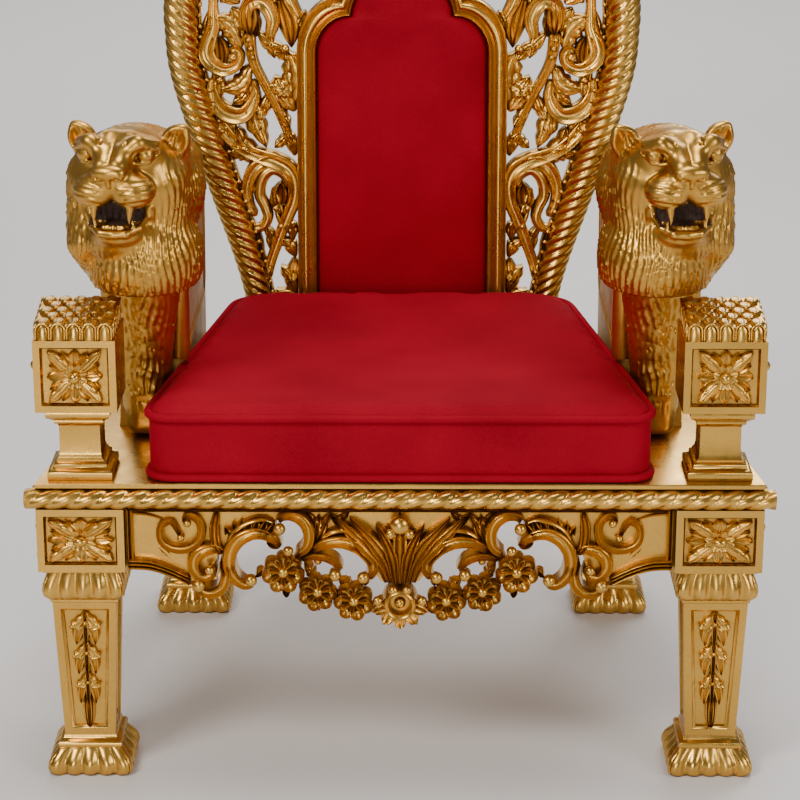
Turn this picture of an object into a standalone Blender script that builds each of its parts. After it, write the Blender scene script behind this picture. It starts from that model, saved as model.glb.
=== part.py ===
import math

import bmesh
import bpy
import numpy as np
from mathutils import Vector

# A carved and gilded lion throne with a red velvet seat and back.
# Metres, +Z up, the front faces -Y, and the origin is on the floor under the middle of the object.

# Fits between pieces
GAP = 0.0003
PANEL_CLEARANCE = 0.003
BOARD_CLEARANCE = 0.002

# Seat frame, a trapezium in plan that narrows towards the back
SEAT_FRONT_WIDTH = 0.896
SEAT_REAR_WIDTH = 0.716
SEAT_DEPTH = 0.640
SEAT_FRONT_Y = -0.3355
DECK_THICKNESS = 0.034
DECK_FILLET = 0.007

# Legs: gadrooned foot, tapered panelled shaft, gadrooned cap and a square corner block
BLOCK_WIDTH = 0.108
BLOCK_HEIGHT = 0.082
LEG_HEIGHT = 0.2805
FOOT_HEIGHT = 0.036
FOOT_WIDTH = 0.107
COLLAR_HEIGHT = 0.013
COLLAR_WIDTH = 0.076
SHAFT_TOP_WIDTH = 0.080
SHAFT_BOTTOM_WIDTH = 0.064
CAP_HEIGHT = 0.046
CAP_WIDTH = 0.103
CAP_NECK_WIDTH = 0.086
LOBES_PER_SIDE = 5
LOBE_DEPTH = 0.0075
CAP_LEDGE = 0.003
LAP = 0.001
PANEL_MARGIN = 0.011
PANEL_DEPTH = 0.005
PANEL_BEVEL = 1.35
HUSK_COUNT = 3
HUSK_RELIEF = 0.006

# Square rosette panels
ROSETTE_FRAME = 0.009
ROSETTE_DEPTH = 0.006
ROSETTE_RELIEF = 0.008
BOSS_RADIUS = 0.008
ROSETTE_LAP = 0.0005

# Twisted rope mouldings round the seat
SEAT_ROPE_STAND = 0.020
SEAT_ROPE_PITCH = 0.027
SEAT_ROPE_GROOVE = 0.0024

# Front apron
APRON_THICKNESS = 0.026
APRON_SETBACK = 0.009
APRON_END_DROP = 0.080
APRON_MODULES = 52.26
APRON_RELIEF = 0.012
FLOWER_MODULES = 3.92
FLOWER_PETALS = 7
MEDALLION_RADIUS = 0.021
FAN_LEAVES = 7
RAIL_HEIGHT = 0.070
RAIL_THICKNESS = 0.024
RAIL_INSET = 0.012
APRON_PETAL_REACH = 0.042
FAN_HALF_WIDTH = 0.058
FAN_LEAF_WIDTH = 0.018

# Arm posts
POST_PLINTH_WIDTH = 0.078
POST_PLINTH_HEIGHT = 0.012
POST_SHAFT_WIDTH = 0.050
POST_BLOCK_WIDTH = 0.100
POST_BLOCK_HEIGHT = 0.091
POST_BLOCK_BOTTOM = 0.488
POST_INSET = 0.005
POST_TOP_RISE = 0.034
POST_TOP_ROWS = 4
POST_TOP_LOBES = 6
POST_ROW_HEIGHT = 0.018
POST_ROW_NOTCH = 0.006
POST_ROW_INSET = 0.002
POST_STEP = 0.006
POST_NECK_WIDTH = 0.060
POST_TORUS_WIDTH = 0.064

# Lions and the arms that they end
LION_CENTRE_X = 0.332
LION_SETBACK = 0.140
LION_CENTRE_Z = 0.764
BUST_DROP = 0.149
LION_MODULE = 0.100
LION_YAW = math.radians(8)
LION_CELL = 0.0065
LION_SKIN_CELL = 0.0045
ARM_INNER_X = 0.278
ARM_THICKNESS = 0.088
ARM_TOP_Z = 0.700
ARM_SETBACK = 0.220
ARM_ROUND = 0.034
ARM_REACH = 0.080
CHEST_TOP_RADIUS = 0.046
CHEST_FOOT_RADIUS = 0.028
BACK_LION_CLEARANCE = 0.003

# Seat cushion
CUSHION_FRONT_WIDTH = 0.634
CUSHION_REAR_WIDTH = 0.462
CUSHION_THICKNESS = 0.088
CUSHION_DEPTH = 0.536
CUSHION_FRONT_INSET = 0.004
CUSHION_CORNER = 0.045
CUSHION_EDGE = 0.007

# Back: a leaning frame with a twisted rope border, pierced foliage and an arched padded panel
BACK_SETBACK = 0.559
BACK_LEAN = math.radians(5)
BACK_DEPTH = 0.040
BACK_BOTTOM_WIDTH = 0.390
BACK_WIDEST = 0.616
BACK_WIDEST_Z = 0.860
BACK_TOP_Z = 1.235
BACK_ROPE_RADIUS = 0.024
BACK_ROPE_FOOT_RADIUS = 0.0175
BACK_ROPE_PITCH = 0.024
BACK_ROPE_GROOVE = 0.0035
PANEL_WIDTH = 0.240
PANEL_FRAME_WIDTH = 0.027
PANEL_FRAME_DEPTH = 0.030
PANEL_SPRING_Z = 0.815
PANEL_CUSP_X = 0.072
PANEL_CUSP_Z = 0.866
PANEL_PEAK_Z = 0.985
PANEL_BOW = 0.008
PAD_THICKNESS = 0.026
BOARD_LAP = 0.006
BACK_BOARD_THICKNESS = 0.012
RIM_DEPTH = 0.022
RIM_LAP = 0.005
ROPE_SEAT_CLEARANCE = 0.001
FOLIAGE_DEPTH = 0.016
FOLIAGE_BAND = 0.008
LEAF_DEPTH = 0.012
CREST_HEIGHT = 0.130
CREST_HALF_WIDTH = 0.062
CREST_LEAVES = 7
CREST_LEAF_WIDTH = 0.040
CREST_BOSS_RADIUS = 0.026
CREST_DROP = 0.115

# How finely the carved pieces are worked
LEG_CELL = 0.0016
APRON_CELL = 0.0016
BACK_CELL = 0.0022
FRONT_LEG_TRIANGLES = 680
REAR_LEG_TRIANGLES = 400
POST_TRIANGLES = 420
APRON_TRIANGLES = 1300
BACK_TRIANGLES = 2200
LION_TRIANGLES = 820
HOLLOW_POINTS = 12

DECK_BOTTOM = LEG_HEIGHT + BLOCK_HEIGHT + GAP
DECK_TOP = DECK_BOTTOM + DECK_THICKNESS
SEAT_REAR_Y = SEAT_FRONT_Y + SEAT_DEPTH
LION_CENTRE_Y = SEAT_FRONT_Y + LION_SETBACK
ARM_FRONT_Y = SEAT_FRONT_Y + ARM_SETBACK
BACK_FRONT_Y = SEAT_FRONT_Y + BACK_SETBACK

GOLD = (0.71, 0.45, 0.14, 1.0)
DARK_GOLD = (0.45, 0.27, 0.08, 1.0)
RED = (0.42, 0.004, 0.012, 1.0)


def clear_scene():
    for item in list(bpy.data.objects):
        bpy.data.objects.remove(item, do_unlink=True)


def plain_material(name, colour, roughness, metallic):
    material = bpy.data.materials.new(name)
    material.use_nodes = True
    shader = material.node_tree.nodes["Principled BSDF"]
    shader.inputs["Base Color"].default_value = colour
    shader.inputs["Roughness"].default_value = roughness
    shader.inputs["Metallic"].default_value = metallic
    return material


def gold_material():
    return plain_material("gilded_wood", GOLD, 0.34, 0.85)


def old_gold_material():
    return plain_material("gilded_wood_inside", DARK_GOLD, 0.5, 0.7)


def velvet_material():
    return plain_material("red_velvet", RED, 0.9, 0.0)


# Bodies are lists of points and faces until they become an object

def loft(rings):
    """A closed body through rings of equally many points, each end filled with one face."""
    count = len(rings[0])
    points = [Vector(point) for ring in rings for point in ring]
    faces = [tuple(range(count))[::-1]]
    for level in range(len(rings) - 1):
        low = level * count
        high = low + count
        for i in range(count):
            j = (i + 1) % count
            faces.append((low + i, low + j, high + j, high + i))
    faces.append(tuple(range(len(points) - count, len(points))))
    return points, faces


def box(low, high):
    ring = [(low[0], low[1]), (high[0], low[1]), (high[0], high[1]), (low[0], high[1])]
    return loft([[(x, y, z) for x, y in ring] for z in (low[2], high[2])])


def ball(centre, radius, sides=8, levels=4, squash=1.0):
    rings = []
    for level in range(levels + 1):
        tilt = math.pi * (level + 0.12) / (levels + 0.24) - math.pi / 2
        ring = []
        for i in range(sides):
            turn = 2 * math.pi * i / sides
            ring.append((
                centre[0] + radius * math.cos(tilt) * math.cos(turn),
                centre[1] + radius * squash * math.cos(tilt) * math.sin(turn),
                centre[2] + radius * math.sin(tilt),
            ))
        rings.append(ring)
    return loft(rings)


def mapped(body, place):
    points, faces = body
    return [Vector(place(*point)) for point in points], faces


def new_object(name, bodies, material, sharp_degrees=35):
    """One object from closed bodies, which the caller unites if they meet."""
    mesh = bpy.data.meshes.new(name)
    work = bmesh.new()
    for points, faces in bodies:
        corners = [work.verts.new(point) for point in points]
        for face in faces:
            work.faces.new([corners[i] for i in face])
    bmesh.ops.recalc_face_normals(work, faces=work.faces)
    work.to_mesh(mesh)
    work.free()
    mesh.materials.append(material)
    mesh.shade_smooth()
    mesh.set_sharp_from_angle(angle=math.radians(sharp_degrees))
    item = bpy.data.objects.new(name, mesh)
    bpy.context.scene.collection.objects.link(item)
    return item


def baked(item):
    """The object with its modifiers applied."""
    context = bpy.context.evaluated_depsgraph_get()
    mesh = bpy.data.meshes.new_from_object(item.evaluated_get(context))
    item.modifiers.clear()
    item.data = mesh
    return item


def fused(name, bodies, material, cell, triangles, low=None, high=None, sharp_degrees=35):
    """One closed solid from overlapping closed bodies, held inside the box that its neighbours leave it."""
    item = new_object(name, bodies, material, sharp_degrees)
    skin = item.modifiers.new("skin", "REMESH")
    skin.mode = "VOXEL"
    skin.voxel_size = cell
    baked(item)
    count = sum(len(face.vertices) - 2 for face in item.data.polygons)
    fewer = item.modifiers.new("fewer_faces", "DECIMATE")
    fewer.ratio = min(1.0, triangles / count)
    fewer.use_collapse_triangulate = True
    baked(item)
    keep_outer_skin(item)
    for corner in item.data.vertices:
        for axis in range(3):
            if low is not None and low[axis] is not None:
                corner.co[axis] = max(corner.co[axis], low[axis])
            if high is not None and high[axis] is not None:
                corner.co[axis] = min(corner.co[axis], high[axis])
    item.data.materials.clear()
    item.data.materials.append(material)
    item.data.shade_smooth()
    item.data.set_sharp_from_angle(angle=math.radians(sharp_degrees))
    return item


def cut_level(item, height):
    """The piece cut off level at a height and closed there with one flat face."""
    work = bmesh.new()
    work.from_mesh(item.data)
    everything = work.verts[:] + work.edges[:] + work.faces[:]
    cut = bmesh.ops.bisect_plane(work, geom=everything, dist=GAP / 10, plane_co=(0, 0, height),
                                 plane_no=(0, 0, 1), clear_inner=True)
    rim = [part for part in cut["geom_cut"] if isinstance(part, bmesh.types.BMEdge)]
    bmesh.ops.edgeloop_fill(work, edges=rim)
    work.to_mesh(item.data)
    work.free()


def keep_outer_skin(item):
    """Small hollows that carved forms shut in between them are filled, by dropping their inner skins."""
    work = bmesh.new()
    work.from_mesh(item.data)
    loose = set(work.verts)
    groups = []
    while loose:
        front = [loose.pop()]
        group = []
        while front:
            corner = front.pop()
            group.append(corner)
            for edge in corner.link_edges:
                other = edge.other_vert(corner)
                if other in loose:
                    loose.remove(other)
                    front.append(other)
        groups.append(group)
    groups.sort(key=len)
    for group in groups[:-1]:
        if len(group) < HOLLOW_POINTS:
            bmesh.ops.delete(work, geom=group, context="VERTS")
    work.to_mesh(item.data)
    work.free()


def smooth_path(points, steps):
    """A smooth open curve through the points, by the Catmull-Rom rule."""
    points = [Vector(point) for point in points]
    points = [points[0] * 2 - points[1]] + points + [points[-1] * 2 - points[-2]]
    path = []
    for i in range(1, len(points) - 2):
        a, b, c, d = points[i - 1:i + 3]
        for step in range(steps):
            t = step / steps
            path.append(0.5 * (2 * b + (c - a) * t + (2 * a - 5 * b + 4 * c - d) * t * t
                               + (3 * b - 3 * c + d - a) * t ** 3))
    path.append(points[-2])
    return path


def path_sides(path):
    """The unit direction across a flat path at each point."""
    sides = []
    for i in range(len(path)):
        along = path[min(i + 1, len(path) - 1)] - path[max(i - 1, 0)]
        sides.append(Vector((-along[1], along[0])).normalized())
    return sides


def ribbon(points, widths, depth, steps=3, crown=0.55):
    """A carved band along a flat path: (across, up, out) with a crowned front and a flat back."""
    path = smooth_path([Vector((x, z)) for x, z in points], steps)
    sides = path_sides(path)
    rings = []
    for i, (spot, side) in enumerate(zip(path, sides)):
        share = i / (len(path) - 1) * (len(widths) - 1)
        low = min(int(share), len(widths) - 2)
        width = widths[low] + (widths[low + 1] - widths[low]) * (share - low)
        front = depth * (0.6 + 0.4 * min(1.0, width / max(widths)))
        rings.append([
            (*(spot - side * width), 0.0),
            (*(spot - side * width), front * 0.5),
            (*(spot - side * width * (1 - crown)), front),
            (*(spot + side * width * (1 - crown)), front),
            (*(spot + side * width), front * 0.5),
            (*(spot + side * width), 0.0),
        ])
    return loft(rings)


def leaf(base, tip, width, depth, bend=0.0, lift=0.0):
    """A pointed leaf with a middle ridge, from base to tip in a flat plane."""
    base = Vector(base)
    tip = Vector(tip)
    along = tip - base
    side = Vector((-along[1], along[0])).normalized()
    rings = []
    for share, swell in ((0.0, 0.35), (0.3, 0.95), (0.65, 0.9), (1.0, 0.12)):
        spot = base + along * share + side * bend * math.sin(math.pi * share)
        half = width / 2 * swell
        out = lift * share
        rings.append([
            (*(spot - side * half), 0.0),
            (*(spot - side * half), out + depth * 0.45),
            (*spot, out + depth * (0.6 + 0.4 * swell)),
            (*(spot + side * half), out + depth * 0.45),
            (*(spot + side * half), 0.0),
        ])
    return loft(rings)


def flower(centre, radius, petals, depth):
    """Rounded petals about a ball, as one scalloped body and its boss."""
    count = petals * 2
    rings = []
    for radius_share, out in ((1.0, 0.0), (1.0, 0.55), (0.55, 0.8)):
        ring = []
        for i in range(count):
            turn = 2 * math.pi * i / count
            reach = radius * radius_share * (1.0 if i % 2 else 0.78)
            ring.append((centre[0] + reach * math.sin(turn), centre[1] + reach * math.cos(turn), out * depth))
        rings.append(ring)
    return [loft(rings), ball((centre[0], centre[1], depth * 0.8), radius * 0.3, 6, 4)]


def volute(centre, start_radius, end_radius, start_turn, sweep, count=7):
    """Points along a spiral that winds from its outer radius in to its eye."""
    points = []
    for i in range(count):
        share = i / (count - 1)
        radius = start_radius * (end_radius / start_radius) ** share
        turn = start_turn + sweep * share
        points.append((centre[0] + radius * math.cos(turn), centre[1] + radius * math.sin(turn)))
    return points


def mirrored(bodies):
    result = []
    for points, faces in bodies:
        result.append(([Vector((-p[0], p[1], p[2])) for p in points], [face[::-1] for face in faces]))
    return result


# Legs

def square_ring(width, height):
    half = width / 2
    return [(-half, -half, height), (half, -half, height), (half, half, height), (-half, half, height)]


def lobed_ring(width, height, depth):
    """A square outline whose sides are rows of rounded lobes."""
    half = width / 2
    ring = []
    count = LOBES_PER_SIDE * 2
    for side in range(4):
        turn = side * math.pi / 2
        for i in range(count):
            share = i / count
            across = -half + width * share
            valley = depth if i % 2 == 0 else 0.0
            trim = half - valley
            across = max(-trim, min(trim, across))
            ring.append((
                across * math.cos(turn) + trim * math.sin(turn),
                across * math.sin(turn) - trim * math.cos(turn),
                height,
            ))
    return ring


def gadroon(bottom, top, bottom_width, middle_width, top_width, run_down=0.0):
    height = top - bottom
    return loft([
        lobed_ring(bottom_width, bottom - run_down, LOBE_DEPTH * 0.7),
        lobed_ring(middle_width, bottom + height * 0.35, LOBE_DEPTH),
        lobed_ring(top_width, top, LOBE_DEPTH * 0.4),
    ])


def framed_shaft(bottom, top):
    """A square shaft, narrower below, with a sunk panel in each face."""
    rings = (square_ring(SHAFT_BOTTOM_WIDTH, bottom), square_ring(SHAFT_TOP_WIDTH, top))
    points = [Vector(p) for ring in rings for p in ring]
    faces = [(3, 2, 1, 0), (4, 5, 6, 7)]
    for side in range(4):
        a, b = side, (side + 1) % 4
        quad = [points[a], points[b], points[b + 4], points[a + 4]]
        middle = sum(quad, Vector()) / 4
        normal = (quad[1] - quad[0]).cross(quad[3] - quad[0]).normalized()
        rim = []
        floor = []
        for corner in quad:
            toward = middle - corner
            level = Vector((toward[0], toward[1], 0)).normalized() * PANEL_MARGIN
            upright = Vector((0, 0, math.copysign(PANEL_MARGIN, toward[2])))
            rim.append(corner + level + upright)
            floor.append(corner + (level + upright) * PANEL_BEVEL - normal * PANEL_DEPTH)
        start = len(points)
        points += rim + floor
        outer = (a, b, b + 4, a + 4)
        for i in range(4):
            j = (i + 1) % 4
            faces.append((outer[i], outer[j], start + j, start + i))
            faces.append((start + i, start + j, start + 4 + j, start + 4 + i))
        faces.append((start + 4, start + 5, start + 6, start + 7))
    return points, faces


def husk_drop(bottom, top, front):
    """Bellflower husks one under another down a panel."""
    bodies = []
    length = (top - bottom) / HUSK_COUNT
    width = SHAFT_BOTTOM_WIDTH * 0.22
    taper = (SHAFT_TOP_WIDTH - SHAFT_BOTTOM_WIDTH) / 2 / HUSK_COUNT
    for i in range(HUSK_COUNT):
        high = top - i * length
        half = SHAFT_BOTTOM_WIDTH / 2 - PANEL_MARGIN * PANEL_BEVEL + taper * (HUSK_COUNT - 1 - i)
        for sign in (-1, 1):
            base = (sign * width * 0.15, high)
            bodies.append(leaf(base, (sign * half, high - length * 0.85), width, HUSK_RELIEF))
    bodies.append(leaf((0, top), (0, bottom), width * 0.85, HUSK_RELIEF * 0.8))
    return [mapped(body, lambda x, z, out: (x, front - out, z)) for body in bodies]


def rosette(size, place):
    """Eight leaves about a ball inside a square, standing out from the sunk floor."""
    bodies = []
    reach = size / 2
    for i in range(8):
        turn = math.pi / 4 * i
        length = reach * (1.27 if i % 2 else 0.93)
        tip = (length * math.cos(turn), length * math.sin(turn))
        base = (0.15 * tip[0], 0.15 * tip[1])
        bodies.append(leaf(base, tip, size * (0.24 if i % 2 else 0.3), ROSETTE_RELIEF * 0.75))
    bodies.append(ball((0, 0, ROSETTE_RELIEF * 0.6), BOSS_RADIUS, 6, 4))
    bodies.append(box((-size * 0.1, -size * 0.1, 0), (size * 0.1, size * 0.1, ROSETTE_RELIEF * 0.5)))
    return [mapped(body, place) for body in bodies]


def sunk_block(low, high, sides):
    """A block with a sunk square panel in each named side, as one closed body."""
    points = []
    faces = []
    corners = [(low[0], low[1]), (high[0], low[1]), (high[0], high[1]), (low[0], high[1])]
    for z in (low[2], high[2]):
        points += [Vector((x, y, z)) for x, y in corners]
    faces.append((3, 2, 1, 0))
    faces.append((4, 5, 6, 7))
    for side in range(4):
        outer = (side, (side + 1) % 4, (side + 1) % 4 + 4, side + 4)
        if side not in sides:
            faces.append(outer)
            continue
        quad = [points[i] for i in outer]
        middle = sum(quad, Vector()) / 4
        normal = (quad[1] - quad[0]).cross(quad[3] - quad[0]).normalized()
        start = len(points)
        rim = []
        for corner in quad:
            toward = middle - corner
            across = Vector((toward[0], toward[1], 0)).normalized() * ROSETTE_FRAME
            upright = Vector((0, 0, math.copysign(ROSETTE_FRAME, toward[2])))
            rim.append(corner + across + upright)
        points += rim
        points += [corner - normal * ROSETTE_DEPTH for corner in rim]
        for i in range(4):
            j = (i + 1) % 4
            faces.append((outer[i], outer[j], start + j, start + i))
            faces.append((start + i, start + j, start + 4 + j, start + 4 + i))
        faces.append((start + 4, start + 5, start + 6, start + 7))
    return points, faces


def make_leg(name, side, y_centre, x_outer, front, material):
    """One leg: its carved faces look out at the front or the back and at the side."""
    half = BLOCK_WIDTH / 2
    x_centre = side * (x_outer - half)
    shaft_bottom = FOOT_HEIGHT + COLLAR_HEIGHT
    shaft_top = LEG_HEIGHT - CAP_HEIGHT
    ledge = half - 2 * CAP_LEDGE
    cap_width = (SHAFT_TOP_WIDTH + CAP_WIDTH) / 2
    collar_middle = FOOT_HEIGHT + COLLAR_HEIGHT / 2
    bodies = [
        gadroon(0.0, FOOT_HEIGHT, FOOT_WIDTH * 0.97, FOOT_WIDTH, COLLAR_WIDTH * 1.02, CAP_LEDGE),
        loft([square_ring(COLLAR_WIDTH, FOOT_HEIGHT - LAP), square_ring(COLLAR_WIDTH, collar_middle),
              square_ring(SHAFT_BOTTOM_WIDTH + 2 * LAP, shaft_bottom + LAP)]),
        framed_shaft(shaft_bottom, shaft_top),
        gadroon(shaft_top - LAP, LEG_HEIGHT - CAP_LEDGE, cap_width, CAP_WIDTH, CAP_NECK_WIDTH),
        box((-ledge, -ledge, LEG_HEIGHT - CAP_LEDGE - LAP), (ledge, ledge, LEG_HEIGHT + LAP)),
    ]
    faced = -1 if front else 1
    side_faces = (0 if front else 2, 1 if side > 0 else 3)
    bodies.append(sunk_block((-half, -half, LEG_HEIGHT), (half, half, LEG_HEIGHT + BLOCK_HEIGHT), side_faces))
    size = min(BLOCK_WIDTH, BLOCK_HEIGHT) - 2 * ROSETTE_FRAME
    middle = LEG_HEIGHT + BLOCK_HEIGHT / 2
    floor = half - ROSETTE_DEPTH - ROSETTE_LAP
    bodies += rosette(size, lambda x, z, out: (x, faced * (floor + out), middle + z))
    bodies += rosette(size, lambda y, z, out: (side * (floor + out), y, middle + z))
    panel = (SHAFT_BOTTOM_WIDTH + SHAFT_TOP_WIDTH) / 4 - PANEL_DEPTH - HUSK_RELIEF / 2
    if front:
        bodies += husk_drop(shaft_bottom + 2 * PANEL_MARGIN, shaft_top - 2 * PANEL_MARGIN, -panel)
    placed = [mapped(body, lambda x, y, z: (x + x_centre, y + y_centre, z)) for body in bodies]
    high = [None, None, LEG_HEIGHT + BLOCK_HEIGHT]
    triangles = FRONT_LEG_TRIANGLES if front else REAR_LEG_TRIANGLES
    leg = fused(name, placed, material, LEG_CELL, triangles, None, high)
    cut_level(leg, 0.0)


def seat_half_width(y):
    share = (y - SEAT_FRONT_Y) / SEAT_DEPTH
    return (SEAT_FRONT_WIDTH + (SEAT_REAR_WIDTH - SEAT_FRONT_WIDTH) * share) / 2


def make_legs(material):
    half = BLOCK_WIDTH / 2
    for word, side in (("left", -1), ("right", 1)):
        make_leg("leg_front_" + word, side, SEAT_FRONT_Y + half, SEAT_FRONT_WIDTH / 2, True, material)
        make_leg("leg_rear_" + word, side, SEAT_REAR_Y - half, SEAT_REAR_WIDTH / 2, False, material)


# Seat

def make_deck(material):
    """The deck board, its edge stepped under a narrow fillet."""
    rings = []
    for z, inset in ((DECK_BOTTOM, DECK_FILLET), (DECK_TOP - DECK_FILLET, DECK_FILLET),
                     (DECK_TOP - DECK_FILLET, 0.0), (DECK_TOP, 0.0)):
        front = SEAT_FRONT_Y + inset
        rear = SEAT_REAR_Y
        rings.append([
            (-seat_half_width(front) + inset, front, z), (seat_half_width(front) - inset, front, z),
            (seat_half_width(rear) - inset, rear, z), (-seat_half_width(rear) + inset, rear, z),
        ])
    new_object("seat_deck", [loft(rings)], material)


def rope(path, radii, pitch, groove, place, sides=4, lean=0.8):
    """A twisted moulding along a flat path: every turn is a slanting swell with a groove after it."""
    length = sum((path[i + 1] - path[i]).length for i in range(len(path) - 1))
    count = max(4, int(round(length / pitch))) * 2
    spots = resampled(path, count)
    across = path_sides(spots)
    rings = []
    for i, (spot, side) in enumerate(zip(spots, across)):
        share = i / (len(spots) - 1)
        radius = radii[0] + (radii[1] - radii[0]) * min(1.0, 2 * share)
        radius -= groove if i % 2 else 0.0
        along = Vector((side[1], -side[0]))
        ring = []
        for k in range(sides):
            turn = math.pi * k / (sides - 1)
            reach = math.cos(turn) * radius
            slant = lean * reach if 0 < i < len(spots) - 1 else 0.0
            flat = spot + side * reach + along * slant
            ring.append(place(flat[0], flat[1], math.sin(turn) * radius))
        rings.append(ring)
    return loft(rings)


def resampled(path, count):
    """Equally spaced points along a path."""
    lengths = [0.0]
    for i in range(len(path) - 1):
        lengths.append(lengths[-1] + (path[i + 1] - path[i]).length)
    spots = []
    at = 0
    for i in range(count + 1):
        want = lengths[-1] * i / count
        while at < len(lengths) - 2 and lengths[at + 1] < want:
            at += 1
        share = (want - lengths[at]) / max(lengths[at + 1] - lengths[at], 1e-9)
        spots.append(path[at].lerp(path[at + 1], min(1.0, share)))
    return spots


def make_seat_ropes(material):
    """Rope mouldings under the deck's fillet, along the front and both sides."""
    middle = DECK_BOTTOM + (DECK_THICKNESS - DECK_FILLET) / 2
    radius = (DECK_THICKNESS - DECK_FILLET) / 2 - GAP
    stand = SEAT_ROPE_STAND / radius
    front = SEAT_FRONT_Y + DECK_FILLET - GAP
    end = seat_half_width(SEAT_FRONT_Y) - DECK_FILLET + SEAT_ROPE_STAND
    path = [Vector((-end, 0.0)), Vector((end, 0.0))]
    body = rope(path, (radius, radius), SEAT_ROPE_PITCH, SEAT_ROPE_GROOVE,
                lambda x, z, out: (x, front - out * stand, middle + z))
    new_object("rope_moulding_front", [body], material)
    slope = (SEAT_REAR_WIDTH - SEAT_FRONT_WIDTH) / 2 / SEAT_DEPTH
    start = SEAT_FRONT_Y + DECK_FILLET + GAP
    path = [Vector((start, 0.0)), Vector((SEAT_REAR_Y, 0.0))]
    for word, side in (("left", -1), ("right", 1)):
        def place(y, z, out, side=side):
            flush = seat_half_width(y) - DECK_FILLET + GAP * 2
            return (side * (flush + out * stand), max(y + out * slope, start), middle + z)
        body = rope(path, (radius, radius), SEAT_ROPE_PITCH, SEAT_ROPE_GROOVE, place)
        new_object("rope_moulding_" + word, [body], material)


def apron_bodies():
    """The left half of the apron's openwork, seen from the front as (x, z, out)."""
    top = LEG_HEIGHT + BLOCK_HEIGHT
    end = SEAT_FRONT_WIDTH / 2 - BLOCK_WIDTH - GAP
    drop = APRON_END_DROP
    thick = APRON_THICKNESS
    relief = thick + APRON_RELIEF
    r = end / APRON_MODULES
    bodies = []

    def at(across, down):
        """A place by shares: across from 0 at the end to 1 at the middle, down from the top in end drops."""
        return (end * (across - 1), top - drop * down)

    def scroll(points, widths, depth=relief):
        bodies.append(ribbon([at(*point) for point in points], [r * width for width in widths], depth, 2))

    def curl(centre, start, stop, turn, sweep, widths, count, depth=relief):
        points = volute(at(*centre), start * r, stop * r, math.radians(turn), math.radians(sweep), count)
        bodies.append(ribbon(points, [r * width for width in widths], depth, 2))

    def bead(centre, size, out=thick):
        bodies.append(ball((*at(*centre), out), size * r, 6, 4))

    def frond(base, tip, width, depth=relief, bend=0.0):
        bodies.append(leaf(at(*base), at(*tip), width * r, depth, bend * r))

    panel = [at(0, 1), at(0.22, 1.275), at(0.31, 0.875), at(0.33, 0), at(0, 0)]
    bodies.append(loft([[(x, z, out) for x, z in panel] for out in (0.0, thick * 0.75)]))
    scroll([(0, 0.95), (0.12, 1.04), (0.24, 1.275)], [0.8, 0.9, 0.8], thick)
    bodies.append(box((-end, top - 2 * r, 0.0), (r, top, thick * 0.9)))
    bodies.append(box((-end, top - drop, 0.0), (-end + 1.2 * r, top, thick * 0.95)))
    curl((0.182, 0.331), 2.8, 1.5, 80, 250, [0.7, 1.0, 0.8], 6, relief * 0.9)
    curl((0.305, 0.881), 4.9, 1.5, 120, 330, [1.0, 1.2, 1.0], 8)
    bead((0.267, 1.256), 1.4)
    curl((0.464, 0.781), 5.5, 4.3, 30, 240, [0.9, 1.25, 0.9], 8)
    bead((0.476, 1.106), 1.6)
    frond((0.346, 0.556), (0.535, 0.194), 3.4, relief * 0.95, -1.8)
    curl((0.606, 0.431), 3.2, 3.2, 200, -270, [0.8, 1.0, 0.8], 7, relief * 0.95)
    bead((0.561, 0.306), 1.4, thick * 0.9)
    scroll([(0.647, 0.669), (0.735, 0.506), (0.829, 0.531), (0.891, 0.781), (0.873, 1.031)], [0.8, 1.2, 1.0])
    bead((0.862, 1.106), 1.5)
    scroll([(0.641, 0.956), (0.694, 0.781), (0.753, 0.844), (0.767, 1.031)], [0.7, 0.7, 0.7], relief * 0.8)
    bead((0.759, 1.056), 1.25, thick * 0.8)
    frond((0.641, 0.506), (0.764, 0.131), 3.7, relief * 0.8)
    frond((0.747, 0.456), (0.694, 0.106), 2.8, relief * 0.7)
    for (across, down), size in (((0.573, 1.019), 1.0), ((0.694, 1.331), 0.9), ((0.829, 1.494), 0.92)):
        bodies += flower(at(across, down), r * FLOWER_MODULES * size, FLOWER_PETALS, relief)
    bead((0.919, 1.469), 1.6, thick * 0.8)
    frond((0.635, 1.256), (0.706, 0.806), 3.1, thick * 0.8)
    frond((0.670, 0.631), (0.635, 1.156), 2.5, thick * 0.7)
    return bodies


def apron_middle():
    """The palmette fan that rises from a round medallion, and the petals under it."""
    thick = APRON_THICKNESS
    relief = thick + APRON_RELIEF
    top = LEG_HEIGHT + BLOCK_HEIGHT
    middle = top - 1.52 * APRON_END_DROP
    r = MEDALLION_RADIUS
    bodies = []
    for i in range(FAN_LEAVES):
        share = 2 * i / (FAN_LEAVES - 1) - 1
        tip = (share * FAN_HALF_WIDTH, top - 0.5 * r - 0.4 * r * share * share)
        base = (share * r * 0.5, middle + r * 0.6)
        bodies.append(leaf(base, tip, FAN_LEAF_WIDTH, relief * (1.05 - 0.1 * abs(share)), -0.5 * r * share))
    turns = [2 * math.pi * i / 12 for i in range(12)]
    levels = ((1.0, 0.0), (1.0, relief * 0.9), (0.6, relief * 0.95), (0.6, relief * 0.7))
    bodies.append(loft([
        [(r * size * math.cos(turn), middle + r * size * math.sin(turn), out) for turn in turns]
        for size, out in levels
    ]))
    bodies.append(ball((0.0, middle, relief * 0.75), r * 0.38, 6, 4))
    for i in range(5):
        turn = math.radians(-90 + (i - 2) * 38)
        tip = (APRON_PETAL_REACH * math.cos(turn), middle + APRON_PETAL_REACH * math.sin(turn))
        base = (0.65 * r * math.cos(turn), middle + 0.65 * r * math.sin(turn))
        bodies.append(leaf(base, tip, r * 0.9, thick * 0.85))
    return bodies


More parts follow.
